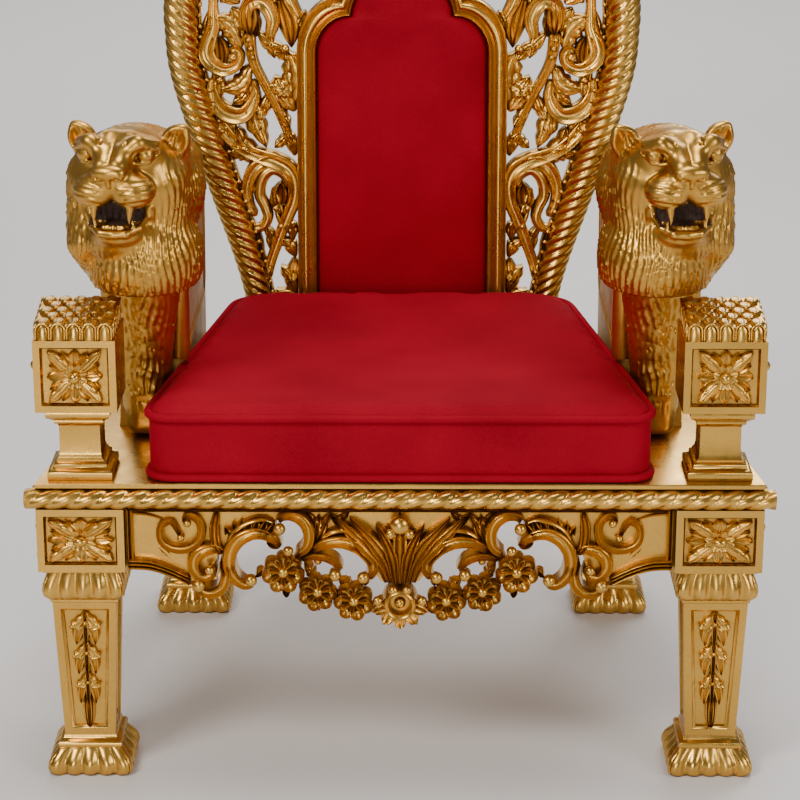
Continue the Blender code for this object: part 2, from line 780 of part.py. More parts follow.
def make_apron(material):
    back = SEAT_FRONT_Y + APRON_SETBACK + APRON_THICKNESS
    left = apron_bodies()
    bodies = left + mirrored(left) + apron_middle()
    placed = [mapped(body, lambda x, z, out: (x, back - out, z - GAP)) for body in bodies]
    end = SEAT_FRONT_WIDTH / 2 - BLOCK_WIDTH - GAP
    top = LEG_HEIGHT + BLOCK_HEIGHT - GAP
    fused("front_apron", placed, material, APRON_CELL, APRON_TRIANGLES, (-end, None, None), (end, back, top))


def make_rails(material):
    """Plain boards that join the legs under the deck, at the sides and the back."""
    top = LEG_HEIGHT + BLOCK_HEIGHT
    low = top - RAIL_HEIGHT
    front = SEAT_FRONT_Y + BLOCK_WIDTH + GAP
    rear = SEAT_REAR_Y - BLOCK_WIDTH - GAP
    inset = RAIL_INSET
    for word, side in (("left", -1), ("right", 1)):
        outline = [
            (side * (SEAT_FRONT_WIDTH / 2 - inset), front), (side * (SEAT_REAR_WIDTH / 2 - inset), rear),
            (side * (SEAT_REAR_WIDTH / 2 - inset - RAIL_THICKNESS), rear),
            (side * (SEAT_FRONT_WIDTH / 2 - inset - RAIL_THICKNESS), front),
        ]
        board = loft([[(x, y, z) for x, y in outline] for z in (low, top)])
        new_object("side_rail_" + word, [board], material)
    half = SEAT_REAR_WIDTH / 2 - BLOCK_WIDTH - GAP
    back = SEAT_REAR_Y - inset
    new_object("rear_rail", [box((-half, back - RAIL_THICKNESS, low), (half, back, top))], material)


def cushion_ring(z, grow):
    """The cushion's plan outline with rounded corners."""
    front = SEAT_FRONT_Y + CUSHION_FRONT_INSET - grow
    rear = front + CUSHION_DEPTH + 2 * grow
    half_front = CUSHION_FRONT_WIDTH / 2 + grow
    half_rear = CUSHION_REAR_WIDTH / 2 + grow
    ring = []
    corners = [(-half_front, front), (half_front, front), (half_rear, rear), (-half_rear, rear)]
    for i, (x, y) in enumerate(corners):
        before = Vector(corners[i - 1]) - Vector((x, y))
        after = Vector(corners[(i + 1) % 4]) - Vector((x, y))
        start = Vector((x, y)) + before.normalized() * CUSHION_CORNER
        end = Vector((x, y)) + after.normalized() * CUSHION_CORNER
        for step in range(4):
            t = step / 3
            spot = start * (1 - t) ** 2 + Vector((x, y)) * 2 * t * (1 - t) + end * t * t
            ring.append((spot[0], spot[1], z))
    return ring


def make_cushion(material):
    low = DECK_TOP + GAP
    high = low + CUSHION_THICKNESS
    edge = CUSHION_EDGE
    rings = [cushion_ring(low, -edge), cushion_ring(low + edge, 0.0), cushion_ring(high - edge, 0.0),
             cushion_ring(high, -edge)]
    new_object("seat_cushion", [loft(rings)], material)


# Arm posts

def make_posts(material):
    for word, side in (("left", -1), ("right", 1)):
        half = POST_BLOCK_WIDTH / 2
        x_centre = side * (SEAT_FRONT_WIDTH / 2 - POST_INSET - half)
        y_front = SEAT_FRONT_Y
        y_centre = y_front + half
        base = DECK_TOP + GAP
        plinth = base + POST_PLINTH_HEIGHT
        block_top = POST_BLOCK_BOTTOM + POST_BLOCK_HEIGHT
        steps = (
            (base, POST_PLINTH_WIDTH), (plinth, POST_PLINTH_WIDTH),
            (plinth + 1.3 * POST_STEP, POST_TORUS_WIDTH),
            (plinth + 2.3 * POST_STEP, POST_NECK_WIDTH), (plinth + 3.3 * POST_STEP, POST_SHAFT_WIDTH),
            (POST_BLOCK_BOTTOM - 3.6 * POST_STEP, POST_SHAFT_WIDTH),
            (POST_BLOCK_BOTTOM - 2.6 * POST_STEP, POST_NECK_WIDTH),
            (POST_BLOCK_BOTTOM - 1.6 * POST_STEP, POST_PLINTH_WIDTH),
            (POST_BLOCK_BOTTOM + LAP, POST_PLINTH_WIDTH),
        )
        bodies = [loft([square_ring(width, z) for z, width in steps])]
        faces = (0, 1 if side > 0 else 3)
        bodies.append(sunk_block((-half, -half, POST_BLOCK_BOTTOM), (half, half, block_top), faces))
        middle = (POST_BLOCK_BOTTOM + block_top) / 2
        floor = half - ROSETTE_DEPTH - ROSETTE_LAP
        size = POST_BLOCK_HEIGHT - 2 * ROSETTE_FRAME
        bodies += rosette(size, lambda x, z, out: (x, -floor - out, middle + z))
        bodies += rosette(size, lambda y, z, out: (side * (floor + out), y, middle + z))
        bodies += post_top_rows(half, block_top)
        placed = [mapped(body, lambda x, y, z: (x + x_centre, y + y_centre, z)) for body in bodies]
        fused("arm_post_" + word, placed, material, LEG_CELL, POST_TRIANGLES, (None, None, base))


def post_top_rows(half, block_top):
    """Rows of arched lobes that step up and back over the block's top."""
    bodies = []
    row_depth = 2 * half / POST_TOP_ROWS
    rise = (POST_TOP_RISE - POST_ROW_HEIGHT) / (POST_TOP_ROWS - 1)
    width = 2 * (half - POST_ROW_INSET)
    count = POST_TOP_LOBES * 2
    for row in range(POST_TOP_ROWS):
        front = -half + row * row_depth + LAP
        top = block_top + POST_ROW_HEIGHT + rise * row
        arches = []
        for i in range(count + 1):
            x = -width / 2 + width * i / count
            arches.append((x, top if i % 2 else top - POST_ROW_NOTCH))
        outline = [(-width / 2, block_top - LAP), (width / 2, block_top - LAP)] + arches[::-1]
        bodies.append(loft([[(x, y, z) for x, z in outline] for y in (front, half - LAP)]))
    return bodies


# Lions and arms, as a rounded form worked out on a grid

def ellipsoid(p, centre, radii):
    q = (p - np.array(centre)) / np.array(radii)
    length = np.sqrt((q * q).sum(axis=-1))
    slope = np.sqrt(((q / np.array(radii)) ** 2).sum(axis=-1)) + 1e-9
    return length * (length - 1.0) / slope


def capsule(p, start, end, start_radius, end_radius):
    start = np.array(start)
    line = np.array(end) - start
    t = np.clip(((p - start) @ line) / (line @ line), 0, 1)
    nearest = start + t[..., None] * line
    return np.sqrt(((p - nearest) ** 2).sum(axis=-1)) - (start_radius + (end_radius - start_radius) * t)


def rounded_box(p, low, high, radius):
    low = np.array(low)
    high = np.array(high)
    q = np.abs(p - (low + high) / 2) - (high - low) / 2 + radius
    outside = np.sqrt((np.maximum(q, 0) ** 2).sum(axis=-1))
    return outside + np.minimum(q.max(axis=-1), 0) - radius


def blend(a, b, radius):
    """A union whose crease is filled to the given radius."""
    h = np.maximum(radius - np.abs(a - b), 0) / radius
    return np.minimum(a, b) - h * h * radius / 4


def cut(a, b, radius):
    """The first form with the second taken away, the rim softened."""
    return -blend(-a, b, radius)


def lion_head(p):
    """The head about its own centre, facing -Y, in lion modules."""
    side = p.copy()
    side[..., 0] = np.abs(p[..., 0])
    form = ellipsoid(p, (0, 0.12, -0.02), (0.68, 0.74, 0.56))
    form = blend(form, ellipsoid(side, (0.36, -0.22, -0.2), (0.32, 0.42, 0.34)), 0.2)
    form = blend(form, capsule(p, (0, -0.3, 0.27), (0, -0.88, 0.1), 0.24, 0.17), 0.2)
    form = blend(form, ellipsoid(side, (0.21, -0.84, -0.2), (0.24, 0.25, 0.2)), 0.1)
    form = blend(form, ellipsoid(p, (0, -1.05, 0.11), (0.18, 0.11, 0.1)), 0.06)
    form = blend(form, capsule(side, (0.14, -0.66, 0.43), (0.48, -0.46, 0.48), 0.08, 0.09), 0.12)
    form = blend(form, ellipsoid(p, (0, -0.58, -0.68), (0.33, 0.38, 0.17)), 0.14)
    form = cut(form, ellipsoid(p, (0, -0.86, -0.49), (0.31, 0.42, 0.13)), 0.04)
    form = blend(form, ellipsoid(side, (0.62, -0.02, 0.37), (0.17, 0.12, 0.19)), 0.06)
    return form


def lion_form(p):
    """Lion bust and smooth arm at the right-hand side, in the object's own frame."""
    centre = np.array((LION_CENTRE_X, LION_CENTRE_Y, LION_CENTRE_Z))
    unit = LION_MODULE
    q = (p - centre) / unit
    turn = -LION_YAW
    head = np.empty_like(q)
    head[..., 0] = q[..., 0] * math.cos(turn) - q[..., 1] * math.sin(turn)
    head[..., 1] = q[..., 0] * math.sin(turn) + q[..., 1] * math.cos(turn)
    head[..., 2] = q[..., 2]
    form = lion_head(head)
    form = blend(form, ellipsoid(q, (-0.1, 0.46, -0.33), (0.78, 0.66, 0.82)), 0.2)
    form = blend(form, ellipsoid(q, (-0.14, 0.04, -1.15), (0.72, 0.88, 0.75)), 0.3) * unit
    form = np.maximum(form, LION_CENTRE_Z - BUST_DROP - p[..., 2])
    arm_low = (ARM_INNER_X, ARM_FRONT_Y, DECK_TOP - ARM_ROUND)
    arm_high = (ARM_INNER_X + ARM_THICKNESS, BACK_FRONT_Y + ARM_REACH, ARM_TOP_Z)
    form = blend(form, rounded_box(p, arm_low, arm_high, ARM_ROUND), 0.12 * unit)
    chest_y = ARM_FRONT_Y - CHEST_TOP_RADIUS
    chest_x = ARM_INNER_X + ARM_THICKNESS / 2
    chest_top = (chest_x, chest_y, LION_CENTRE_Z - BUST_DROP)
    chest_low = (chest_x, chest_y + CHEST_FOOT_RADIUS / 2, DECK_TOP + CHEST_FOOT_RADIUS)
    form = blend(form, capsule(p, chest_top, chest_low, CHEST_TOP_RADIUS, CHEST_FOOT_RADIUS), 0.12 * unit)
    back_plane = BACK_FRONT_Y - BACK_LION_CLEARANCE + (p[..., 2] - DECK_TOP) * math.tan(BACK_LEAN)
    return np.maximum(np.maximum(form, p[..., 1] - back_plane), DECK_TOP + GAP - p[..., 2])


def surface_of(form, low, high, cell):
    """A closed surface of quads where the form changes sign, one point in each crossed cell."""
    axes = [np.arange(a, b + cell, cell) for a, b in zip(low, high)]
    grid = np.stack(np.meshgrid(*axes, indexing="ij"), axis=-1)
    value = form(grid)
    shape = value.shape
    inside = value < 0
    corner_sum = np.zeros(tuple(n - 1 for n in shape), dtype=int)
    total = np.zeros(corner_sum.shape + (3,))
    crossings = np.zeros(corner_sum.shape)
    corners = [(i, j, k) for i in (0, 1) for j in (0, 1) for k in (0, 1)]
    for i, j, k in corners:
        corner_sum += inside[i:shape[0] - 1 + i, j:shape[1] - 1 + j, k:shape[2] - 1 + k]
    active = (corner_sum > 0) & (corner_sum < 8)
    for axis in range(3):
        for corner in corners:
            if corner[axis]:
                continue
            far = list(corner)
            far[axis] = 1
            a = value[tuple(slice(c, n - 1 + c) for c, n in zip(corner, shape))]
            b = value[tuple(slice(c, n - 1 + c) for c, n in zip(far, shape))]
            crossed = (a < 0) != (b < 0)
            t = np.where(crossed, a / np.where(crossed, a - b, 1.0), 0.0)
            for k in range(3):
                part = corner[k] + (t if k == axis else 0.0)
                total[..., k] += np.where(crossed, part, 0.0)
            crossings += crossed
    number = -np.ones(active.shape, dtype=int)
    number[active] = np.arange(active.sum())
    cells = np.argwhere(active)
    spots = np.array(low) + (cells + total[active] / crossings[active][:, None]) * cell
    faces = []
    for axis in range(3):
        u, v = (axis + 1) % 3, (axis + 2) % 3
        first = inside[tuple(slice(0, n - 1) if k == axis else slice(1, n - 1) for k, n in enumerate(shape))]
        second = inside[tuple(slice(1, n) if k == axis else slice(1, n - 1) for k, n in enumerate(shape))]
        for flag, flip in ((first & ~second, False), (~first & second, True)):
            spots_at = np.argwhere(flag)
            step = np.zeros((4, 3), dtype=int)
            step[1, u] = step[2, u] = step[2, v] = step[3, v] = 1
            quads = []
            for offset in step:
                index = spots_at + offset
                quads.append(number[index[:, 0], index[:, 1], index[:, 2]])
            quads = np.stack(quads, axis=1)
            faces.append(quads[:, ::-1] if flip else quads)
    return spots, np.concatenate(faces)


def make_lions(material):
    margin = 1.5 * LION_MODULE
    low = (LION_CENTRE_X - margin, LION_CENTRE_Y - margin, DECK_TOP - LION_CELL)
    high = (LION_CENTRE_X + margin, BACK_FRONT_Y + ARM_REACH, LION_CENTRE_Z + margin)
    spots, quads = surface_of(lion_form, low, high, LION_CELL)
    spots[:, 2] = np.maximum(spots[:, 2], DECK_TOP + GAP)
    body = ([Vector(spot) for spot in spots.tolist()], [tuple(quad) for quad in quads.tolist()])
    floor = (None, None, DECK_TOP + GAP)
    item = fused("lion_right", [body], material, LION_SKIN_CELL, LION_TRIANGLES, floor, None, 50)
    points = [corner.co.copy() for corner in item.data.vertices]
    faces = [tuple(face.vertices) for face in item.data.polygons]
    new_object("lion_left", mirrored([(points, faces)]), material, 50)


# Back

def back_place(x, z, out):
    """A point of the leaning back from its place across, its height and how far it stands forward."""
    return (x, BACK_FRONT_Y + BACK_DEPTH - out + (z - DECK_TOP) * math.tan(BACK_LEAN), z)


def back_rope_path():
    """The middle line of the right half of the rope border, from the deck up to the top."""
    low = DECK_TOP + GAP
    foot = BACK_BOTTOM_WIDTH / 2
    wide = BACK_WIDEST / 2
    rise = BACK_WIDEST_Z - low
    flare = wide - foot
    lower = [(foot, low), (foot + flare * 0.14, low + rise * 0.22), (foot + flare * 0.55, low + rise * 0.53),
             (wide - flare * 0.07, low + rise * 0.83), (wide, BACK_WIDEST_Z)]
    path = smooth_path([Vector(point) for point in lower], 8)
    height = BACK_TOP_Z - BACK_WIDEST_Z
    for i in range(1, 25):
        turn = math.pi / 2 * i / 24
        path.append(Vector((wide * math.cos(turn), BACK_WIDEST_Z + height * math.sin(turn))))
    return path


def panel_outline(offset):
    """The arched panel's outline moved out by offset: upright sides, quarter arcs, cusps and a peak."""
    half = PANEL_WIDTH / 2 + offset
    low = DECK_TOP + GAP
    cusp = Vector((PANEL_CUSP_X + offset * 0.62, PANEL_CUSP_Z + offset * 0.95))
    spring = PANEL_SPRING_Z
    right = [(half, low), (half, spring)]
    for i in range(1, 5):
        turn = math.pi / 2 * i / 4
        x = cusp[0] + (half - cusp[0]) * math.cos(turn)
        right.append((x, spring + (cusp[1] - spring) * math.sin(turn)))
    peak = PANEL_PEAK_Z + offset * 1.25
    for share in (0.25, 0.5, 0.75):
        bow = PANEL_BOW * math.sin(2 * math.pi * share)
        right.append((cusp[0] * (1 - share) + bow, cusp[1] + (peak - cusp[1]) * share))
    right.append((0.0, peak))
    return right + [(-x, z) for x, z in right[-2::-1]]


def panel_frame_bodies():
    """The moulding round the padded panel, as a band between two outlines."""
    rings = []
    width = PANEL_FRAME_WIDTH
    for offset, out in ((0.0, 0.0), (0.0, 0.6), (0.25, 0.95), (0.6, 1.0), (1.0, 0.6), (1.0, 0.0)):
        line = panel_outline(width * offset)
        stand = BACK_DEPTH + PANEL_FRAME_DEPTH * (out * 1.1 - 1)
        rings.append([(x, z, stand) for x, z in line])
    sections = [[ring[i] for ring in rings] for i in range(len(rings[0]))]
    return [loft(sections)]


def field_point(across, up):
    """A place in the carved field of the right half.

    Across runs from 0 at the panel moulding to 1 under the widest part of the rope.
    Up runs from 0 at the deck through 1 at the widest height to 2 at the top.
    """
    inner = PANEL_WIDTH / 2 + PANEL_FRAME_WIDTH
    x = inner + (BACK_WIDEST / 2 - inner) * across
    if up <= 1:
        return (x, DECK_TOP + (BACK_WIDEST_Z - DECK_TOP) * up)
    return (x, BACK_WIDEST_Z + (BACK_TOP_Z - BACK_WIDEST_Z) * (up - 1))


def foliage_bodies():
    """Pierced scrolls and leaves of the right half between the rope and the panel frame."""
    w = FOLIAGE_BAND
    bodies = []

    def scroll(points, widths):
        bodies.append(ribbon([field_point(*point) for point in points], widths, FOLIAGE_DEPTH, 2))

    def frond(base, tip, width, bend=0.0):
        bodies.append(leaf(field_point(*base), field_point(*tip), width * w, LEAF_DEPTH, bend * w))

    scroll([(-0.03, 0.594), (0.18, 0.730), (0.37, 0.860), (0.40, 0.974)], [w * 0.6, w * 0.9, w])
    scroll([(0.58, 1.005), (0.47, 1.064), (0.30, 1.053), (0.20, 0.978), (0.18, 0.918), (0.08, 0.903)],
           [w * 0.5, w * 1.4, w * 1.6, w * 1.2, w * 0.8, w])
    frond((0.42, 0.978), (0.61, 1.005), 2.8, 0.75)
    frond((0.12, 0.918), (-0.03, 0.862), 2.5)
    scroll([(0.84, 1.053), (0.78, 0.953), (0.75, 0.883), (0.63, 0.845), (0.53, 0.870), (0.58, 0.896)],
           [w * 0.8, w, w * 1.2, w * 1.3, w, w])
    frond((0.71, 0.875), (0.61, 0.953), 2.5)
    scroll([(0.88, 0.853), (0.73, 0.784), (0.58, 0.719), (0.40, 0.732), (0.32, 0.788)],
           [w * 0.9, w * 1.2, w * 1.5, w * 1.2, w * 0.6])
    frond((0.69, 0.784), (0.47, 0.806), 3.2, 1)
    frond((0.43, 0.745), (0.30, 0.624), 4, 0.75)
    frond((0.02, 0.719), (0.18, 0.816), 3.8, -0.75)
    frond((-0.03, 0.741), (0.02, 0.883), 3.2)
    scroll([(0.76, 0.702), (0.60, 0.642), (0.39, 0.594), (0.18, 0.577), (0.03, 0.542), (-0.01, 0.486),
            (0.08, 0.396), (0.20, 0.320), (0.30, 0.266), (0.37, 0.223)],
           [w * 1.4, w * 1.3, w, w, w * 1.1, w * 1.1, w, w * 0.9, w, w])
    frond((0.58, 0.637), (0.42, 0.551), 3, 1)
    frond((0.63, 0.655), (0.48, 0.702), 2.2)
    scroll([(0.19, 0.573), (0.38, 0.555), (0.49, 0.508), (0.53, 0.439), (0.47, 0.378), (0.37, 0.387),
            (0.30, 0.430)], [w * 0.9, w, w * 1.1, w, w * 0.9, w * 0.8, w * 0.6])
    scroll([(0.30, 0.551), (0.35, 0.499), (0.32, 0.447), (0.40, 0.408)], [w * 0.6, w * 0.8, w * 0.7, w * 0.6])
    frond((0.02, 0.503), (0.20, 0.452), 2.5, 0.75)
    frond((0.12, 0.365), (0.14, 0.447), 1.8)
    frond((0.50, 0.439), (0.63, 0.503), 2.2)
    frond((-0.03, 0.266), (0.16, 0.352), 3.2, 0.75)
    frond((-0.03, 0.223), (0.17, 0.244), 3.2)
    scroll([(-0.03, 0.158), (0.12, 0.188), (0.24, 0.171), (0.33, 0.115)], [w, w, w, w])
    scroll([(0.95, 1.120), (0.76, 1.240), (0.47, 1.280), (0.27, 1.200), (0.37, 1.120), (0.53, 1.139)],
           [w, w * 1.3, w * 1.3, w * 1.1, w, w * 0.8])
    frond((0.67, 1.253), (0.47, 1.173), 3.2, 0.75)
    scroll([(-0.04, 0.978), (0.08, 1.107), (0.02, 1.267), (0.14, 1.400), (0.42, 1.427), (0.53, 1.347),
            (0.40, 1.309)], [w, w * 1.1, w * 1.2, w * 1.3, w * 1.1, w, w * 0.8])
    frond((0.03, 1.187), (0.27, 1.120), 3, 0.75)
    frond((0.08, 1.333), (-0.17, 1.427), 3.5, -1)
    frond((0.33, 1.421), (0.69, 1.533), 3.8, 1)
    scroll([(-0.30, 1.120), (-0.25, 1.267), (-0.40, 1.400), (-0.33, 1.560), (-0.04, 1.613), (0.08, 1.539),
            (-0.06, 1.501)], [w, w * 1.1, w * 1.2, w * 1.3, w * 1.1, w, w * 0.8])
    frond((-0.35, 1.480), (-0.59, 1.573), 3.5, -0.75)
    frond((-0.17, 1.608), (0.14, 1.747), 3.8, 0.75)
    frond((-0.30, 1.173), (-0.66, 1.507), 4.2, -0.75)
    return bodies


def crest_bodies():
    """A palmette at the middle of the top, above and below the rope."""
    bodies = []
    out = BACK_DEPTH * 0.9
    width = CREST_LEAF_WIDTH
    for i in range(CREST_LEAVES):
        share = 2 * i / (CREST_LEAVES - 1) - 1
        turn = math.pi / 2 - share * math.radians(62)
        reach = CREST_HEIGHT * (1.0 - 0.30 * abs(share))
        tip = (reach * math.cos(turn), BACK_TOP_Z + reach * math.sin(turn))
        base = (width * 0.45 * math.cos(turn), BACK_TOP_Z + width * 0.15)
        bodies.append(leaf(base, tip, width, out, -width * 0.25 * share))
    for share in (-1, 0, 1):
        tip = (share * width * 1.1, BACK_TOP_Z - CREST_DROP + width * 0.5 * abs(share))
        base = (share * width * 0.25, BACK_TOP_Z - width * 0.25)
        bodies.append(leaf(base, tip, width * 0.9, out * 0.8, width * 0.15 * share))
    bodies.append(ball((0, BACK_TOP_Z, BACK_DEPTH), CREST_BOSS_RADIUS, 8, 5))
    stem = [(0.0, PANEL_PEAK_Z + PANEL_FRAME_WIDTH * 0.4), (0.0, BACK_TOP_Z - CREST_DROP * 0.8)]
    bodies.append(ribbon(stem, [width * 0.33, width * 0.28], FOLIAGE_DEPTH * 1.3, 2))
    return bodies


def rim_body():
    """The flat rim behind the rope border, a little wider than the rope on its inner side."""
    middle = resampled(back_rope_path(), 30)
    low = DECK_TOP + GAP
    rings = []
    for i, (spot, side) in enumerate(zip(middle, path_sides(middle))):
        share = i / (len(middle) - 1)
        radius = BACK_ROPE_FOOT_RADIUS + (BACK_ROPE_RADIUS - BACK_ROPE_FOOT_RADIUS) * min(1.0, 2 * share)
        inner = spot + side * (radius + RIM_LAP)
        outer = spot - side * radius * 0.85
        rings.append([back_place(edge[0], max(edge[1], low), out)
                      for edge, out in ((outer, 0.0), (inner, 0.0), (inner, RIM_DEPTH), (outer, RIM_DEPTH))])
    return loft(rings)


def make_back(material):
    """The carved back: rim, foliage, panel moulding and crest as one piece."""
    right = [rim_body()]
    right += [mapped(body, lambda x, z, out: back_place(x, z, out + RIM_DEPTH - FOLIAGE_DEPTH))
              for body in foliage_bodies()]
    bodies = right + mirrored(right)
    bodies += [mapped(body, back_place) for body in panel_frame_bodies() + crest_bodies()]
    fused("back_frame", bodies, material, BACK_CELL, BACK_TRIANGLES, (None, None, DECK_TOP + GAP))


def make_back_rope(material):
    """The twisted border on the front of the rim, in two runs that stop at the crest."""
    path = back_rope_path()
    top = CREST_HALF_WIDTH
    path = [spot for spot in path if spot[0] > top]
    low = DECK_TOP + GAP

    def place(x, z, out):
        return back_place(x, max(z, low), RIM_DEPTH + ROPE_SEAT_CLEARANCE + out)

    radii = (BACK_ROPE_FOOT_RADIUS, BACK_ROPE_RADIUS)
    body = rope(path, radii, BACK_ROPE_PITCH, BACK_ROPE_GROOVE, place, 4, 0.6)
    new_object("back_rope_right", [body], material)
    new_object("back_rope_left", mirrored([body]), material)


def slab(name, offset, near, far, material):
    """A flat panel that fits inside the moulding, between two depths."""
    outline = panel_outline(offset)
    low = DECK_TOP + 2 * GAP
    levels = [[back_place(x, max(z, low), out) for x, z in outline] for out in (near, far)]
    new_object(name, [loft(levels)], material)


def make_back_panel(wood, velvet):
    board_front = BACK_DEPTH - PANEL_FRAME_DEPTH - BOARD_CLEARANCE
    slab("back_board", BOARD_LAP, board_front - BACK_BOARD_THICKNESS, board_front, wood)
    slab("back_pad", -PANEL_CLEARANCE, board_front + GAP, board_front + GAP + PAD_THICKNESS, velvet)


def main():
    clear_scene()
    gold = gold_material()
    old_gold = old_gold_material()
    velvet = velvet_material()
    make_legs(gold)
    make_deck(gold)
    make_seat_ropes(gold)
    make_apron(gold)
    make_rails(old_gold)
    make_cushion(velvet)
    make_posts(gold)
    make_lions(gold)
    make_back(gold)
    make_back_rope(gold)
    make_back_panel(old_gold, velvet)


main()
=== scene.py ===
import math

import bmesh
import bpy
import numpy as np
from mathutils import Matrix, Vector


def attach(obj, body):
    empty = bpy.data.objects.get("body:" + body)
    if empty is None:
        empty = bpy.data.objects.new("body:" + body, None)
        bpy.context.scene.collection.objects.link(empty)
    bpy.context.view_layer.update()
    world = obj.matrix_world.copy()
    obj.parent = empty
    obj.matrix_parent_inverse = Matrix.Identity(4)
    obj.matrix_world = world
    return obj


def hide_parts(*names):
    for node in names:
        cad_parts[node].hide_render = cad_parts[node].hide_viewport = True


# The carved, gilded and upholstered looks of the throne, worked over its CAD solids.

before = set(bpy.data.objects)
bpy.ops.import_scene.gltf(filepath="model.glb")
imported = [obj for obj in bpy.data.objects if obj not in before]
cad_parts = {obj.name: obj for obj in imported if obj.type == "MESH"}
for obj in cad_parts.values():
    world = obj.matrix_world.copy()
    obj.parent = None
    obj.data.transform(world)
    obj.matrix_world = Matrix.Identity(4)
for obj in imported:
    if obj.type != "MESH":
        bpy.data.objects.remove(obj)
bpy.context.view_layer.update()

SEAT_FRONT_Y = -0.3355
SEAT_REAR_Y = 0.3045
FRONT_HALF = 0.448
REAR_HALF = 0.358
LEG_HEIGHT = 0.2805
BLOCK = 0.108
BLOCK_TOP = 0.3625
RAIL_HEIGHT = 0.070
RAIL_INSET = 0.012
APRON_INSET = 0.009
APRON_THICKNESS = 0.026
DECK_LOW = 0.3628
DECK_TOP = 0.3968
FILLET = 0.007
GAP = 0.0003
BACK_FRONT_Y = 0.2235
BACK_DEPTH = 0.040
RIM_DEPTH = 0.022
FOLIAGE_LIFT = 0.003
LEAN = math.tan(math.radians(5))
LION_CENTRE = np.array((0.332, -0.1955, 0.764))
BUST_DROP = 0.149
LION_YAW = math.radians(9)
ARM_FRONT_Y = -0.1155
CUSHION_LOW = DECK_TOP + GAP
CUSHION_HIGH = CUSHION_LOW + 0.088
CUSHION_DEPTH = 0.536
CUSHION_FRONT_HALF = 0.317
CUSHION_REAR_HALF = 0.231
CAMERA_SPOT = (0.0146, -3.3655, 1.5015)
CAMERA_TILT_DEGREES = 18.2
PICTURE_PIXELS = 800
FOCAL_PIXELS = 2635
MIDDLE_SHIFT_PIXELS = 12.6


# Materials

def link(tree, a, b):
    tree.links.new(a, b)


def noise_node(tree, scale, detail):
    """Object-space noise, so that every piece is patterned alike."""
    place = tree.nodes.new("ShaderNodeTexCoord")
    noise = tree.nodes.new("ShaderNodeTexNoise")
    noise.inputs["Scale"].default_value = scale
    noise.inputs["Detail"].default_value = detail
    link(tree, place.outputs["Object"], noise.inputs["Vector"])
    return noise.outputs["Fac"]


def ramp_node(tree, source, stops):
    ramp = tree.nodes.new("ShaderNodeValToRGB")
    while len(ramp.color_ramp.elements) < len(stops):
        ramp.color_ramp.elements.new(0.5)
    for element, (at, colour) in zip(ramp.color_ramp.elements, stops):
        element.position = at
        element.color = (*colour, 1.0) if len(colour) == 3 else colour
    link(tree, source, ramp.inputs["Fac"])
    return ramp.outputs["Color"]


def mix_node(tree, share, a, b, mode="MIX"):
    mix = tree.nodes.new("ShaderNodeMix")
    mix.data_type = "RGBA"
    mix.blend_type = mode
    for value, socket in ((share, mix.inputs[0]), (a, mix.inputs[6]), (b, mix.inputs[7])):
        if isinstance(value, (int, float)):
            socket.default_value = value
        elif isinstance(value, tuple):
            socket.default_value = (*value, 1.0)
        else:
            link(tree, value, socket)
    return mix.outputs[2]


def grey(value):
    return (value, value, value)


def plain_material(name):
    material = bpy.data.materials.new(name)
    material.use_nodes = True
    return material, material.node_tree, material.node_tree.nodes["Principled BSDF"]


def bump_node(tree, shader, height, strength, distance):
    bump = tree.nodes.new("ShaderNodeBump")
    bump.inputs["Strength"].default_value = strength
    bump.inputs["Distance"].default_value = distance
    link(tree, height, bump.inputs["Height"])
    link(tree, bump.outputs["Normal"], shader.inputs["Normal"])


def gold(name, light, deep, low=0.22, high=0.40, metal=1.0):
    """Burnished leaf over gesso: clean on the high places, with painted shade darkening the hollows."""
    material, tree, shader = plain_material(name)
    tone = ramp_node(tree, noise_node(tree, 9.0, 4.0), ((0.35, light),
                                                        (0.72, tuple(0.86 * c for c in light))))
    # Painted shade: ambient occlusion within 10 mm darkens the base colour towards the deep tone in hollows
    # and creases, and raises the roughness there.
    shut = tree.nodes.new("ShaderNodeAmbientOcclusion")
    shut.samples = 6
    shut.inputs["Distance"].default_value = 0.010
    hollow = ramp_node(tree, shut.outputs["AO"], ((0.10, grey(1.0)), (0.34, grey(0.36)), (0.62, grey(0.0))))
    speck = ramp_node(tree, noise_node(tree, 190.0, 4.0), ((0.60, grey(0.0)), (0.80, grey(0.5))))
    worn = mix_node(tree, speck, tone, tuple(0.6 * c for c in light))
    link(tree, mix_node(tree, hollow, worn, deep), shader.inputs["Base Color"])
    shader.inputs["Metallic"].default_value = metal
    rough = ramp_node(tree, noise_node(tree, 34.0, 5.0), ((0.30, grey(low)), (0.75, grey(high))))
    link(tree, mix_node(tree, hollow, rough, grey(0.62)), shader.inputs["Roughness"])
    bump_node(tree, shader, noise_node(tree, 150.0, 4.0), 0.20, 0.0006)
    return material


def velvet(name):
    """Short crimson pile that catches the light at grazing angles."""
    material, tree, shader = plain_material(name)
    nap = ramp_node(tree, noise_node(tree, 7.0, 3.0), ((0.30, (0.27, 0.0, 0.010)),
                                                       (0.72, (0.37, 0.0004, 0.016))))
    pile = ramp_node(tree, noise_node(tree, 900.0, 2.0), ((0.30, grey(0.72)), (0.70, grey(1.0))))
    link(tree, mix_node(tree, 1.0, nap, pile, "MULTIPLY"), shader.inputs["Base Color"])
    for socket, value in (("Roughness", 0.82), ("Specular IOR Level", 0.12), ("Sheen Weight", 0.22),
                          ("Sheen Roughness", 0.35), ("Sheen Tint", (1.0, 0.03, 0.09, 1.0))):
        shader.inputs[socket].default_value = value
    bump_node(tree, shader, noise_node(tree, 1100.0, 2.0), 0.25, 0.0005)
    return material


def pale_floor():
    material, tree, shader = plain_material("floor")
    shader.inputs["Base Color"].default_value = (0.74, 0.72, 0.71, 1.0)
    shader.inputs["Roughness"].default_value = 0.55
    return material
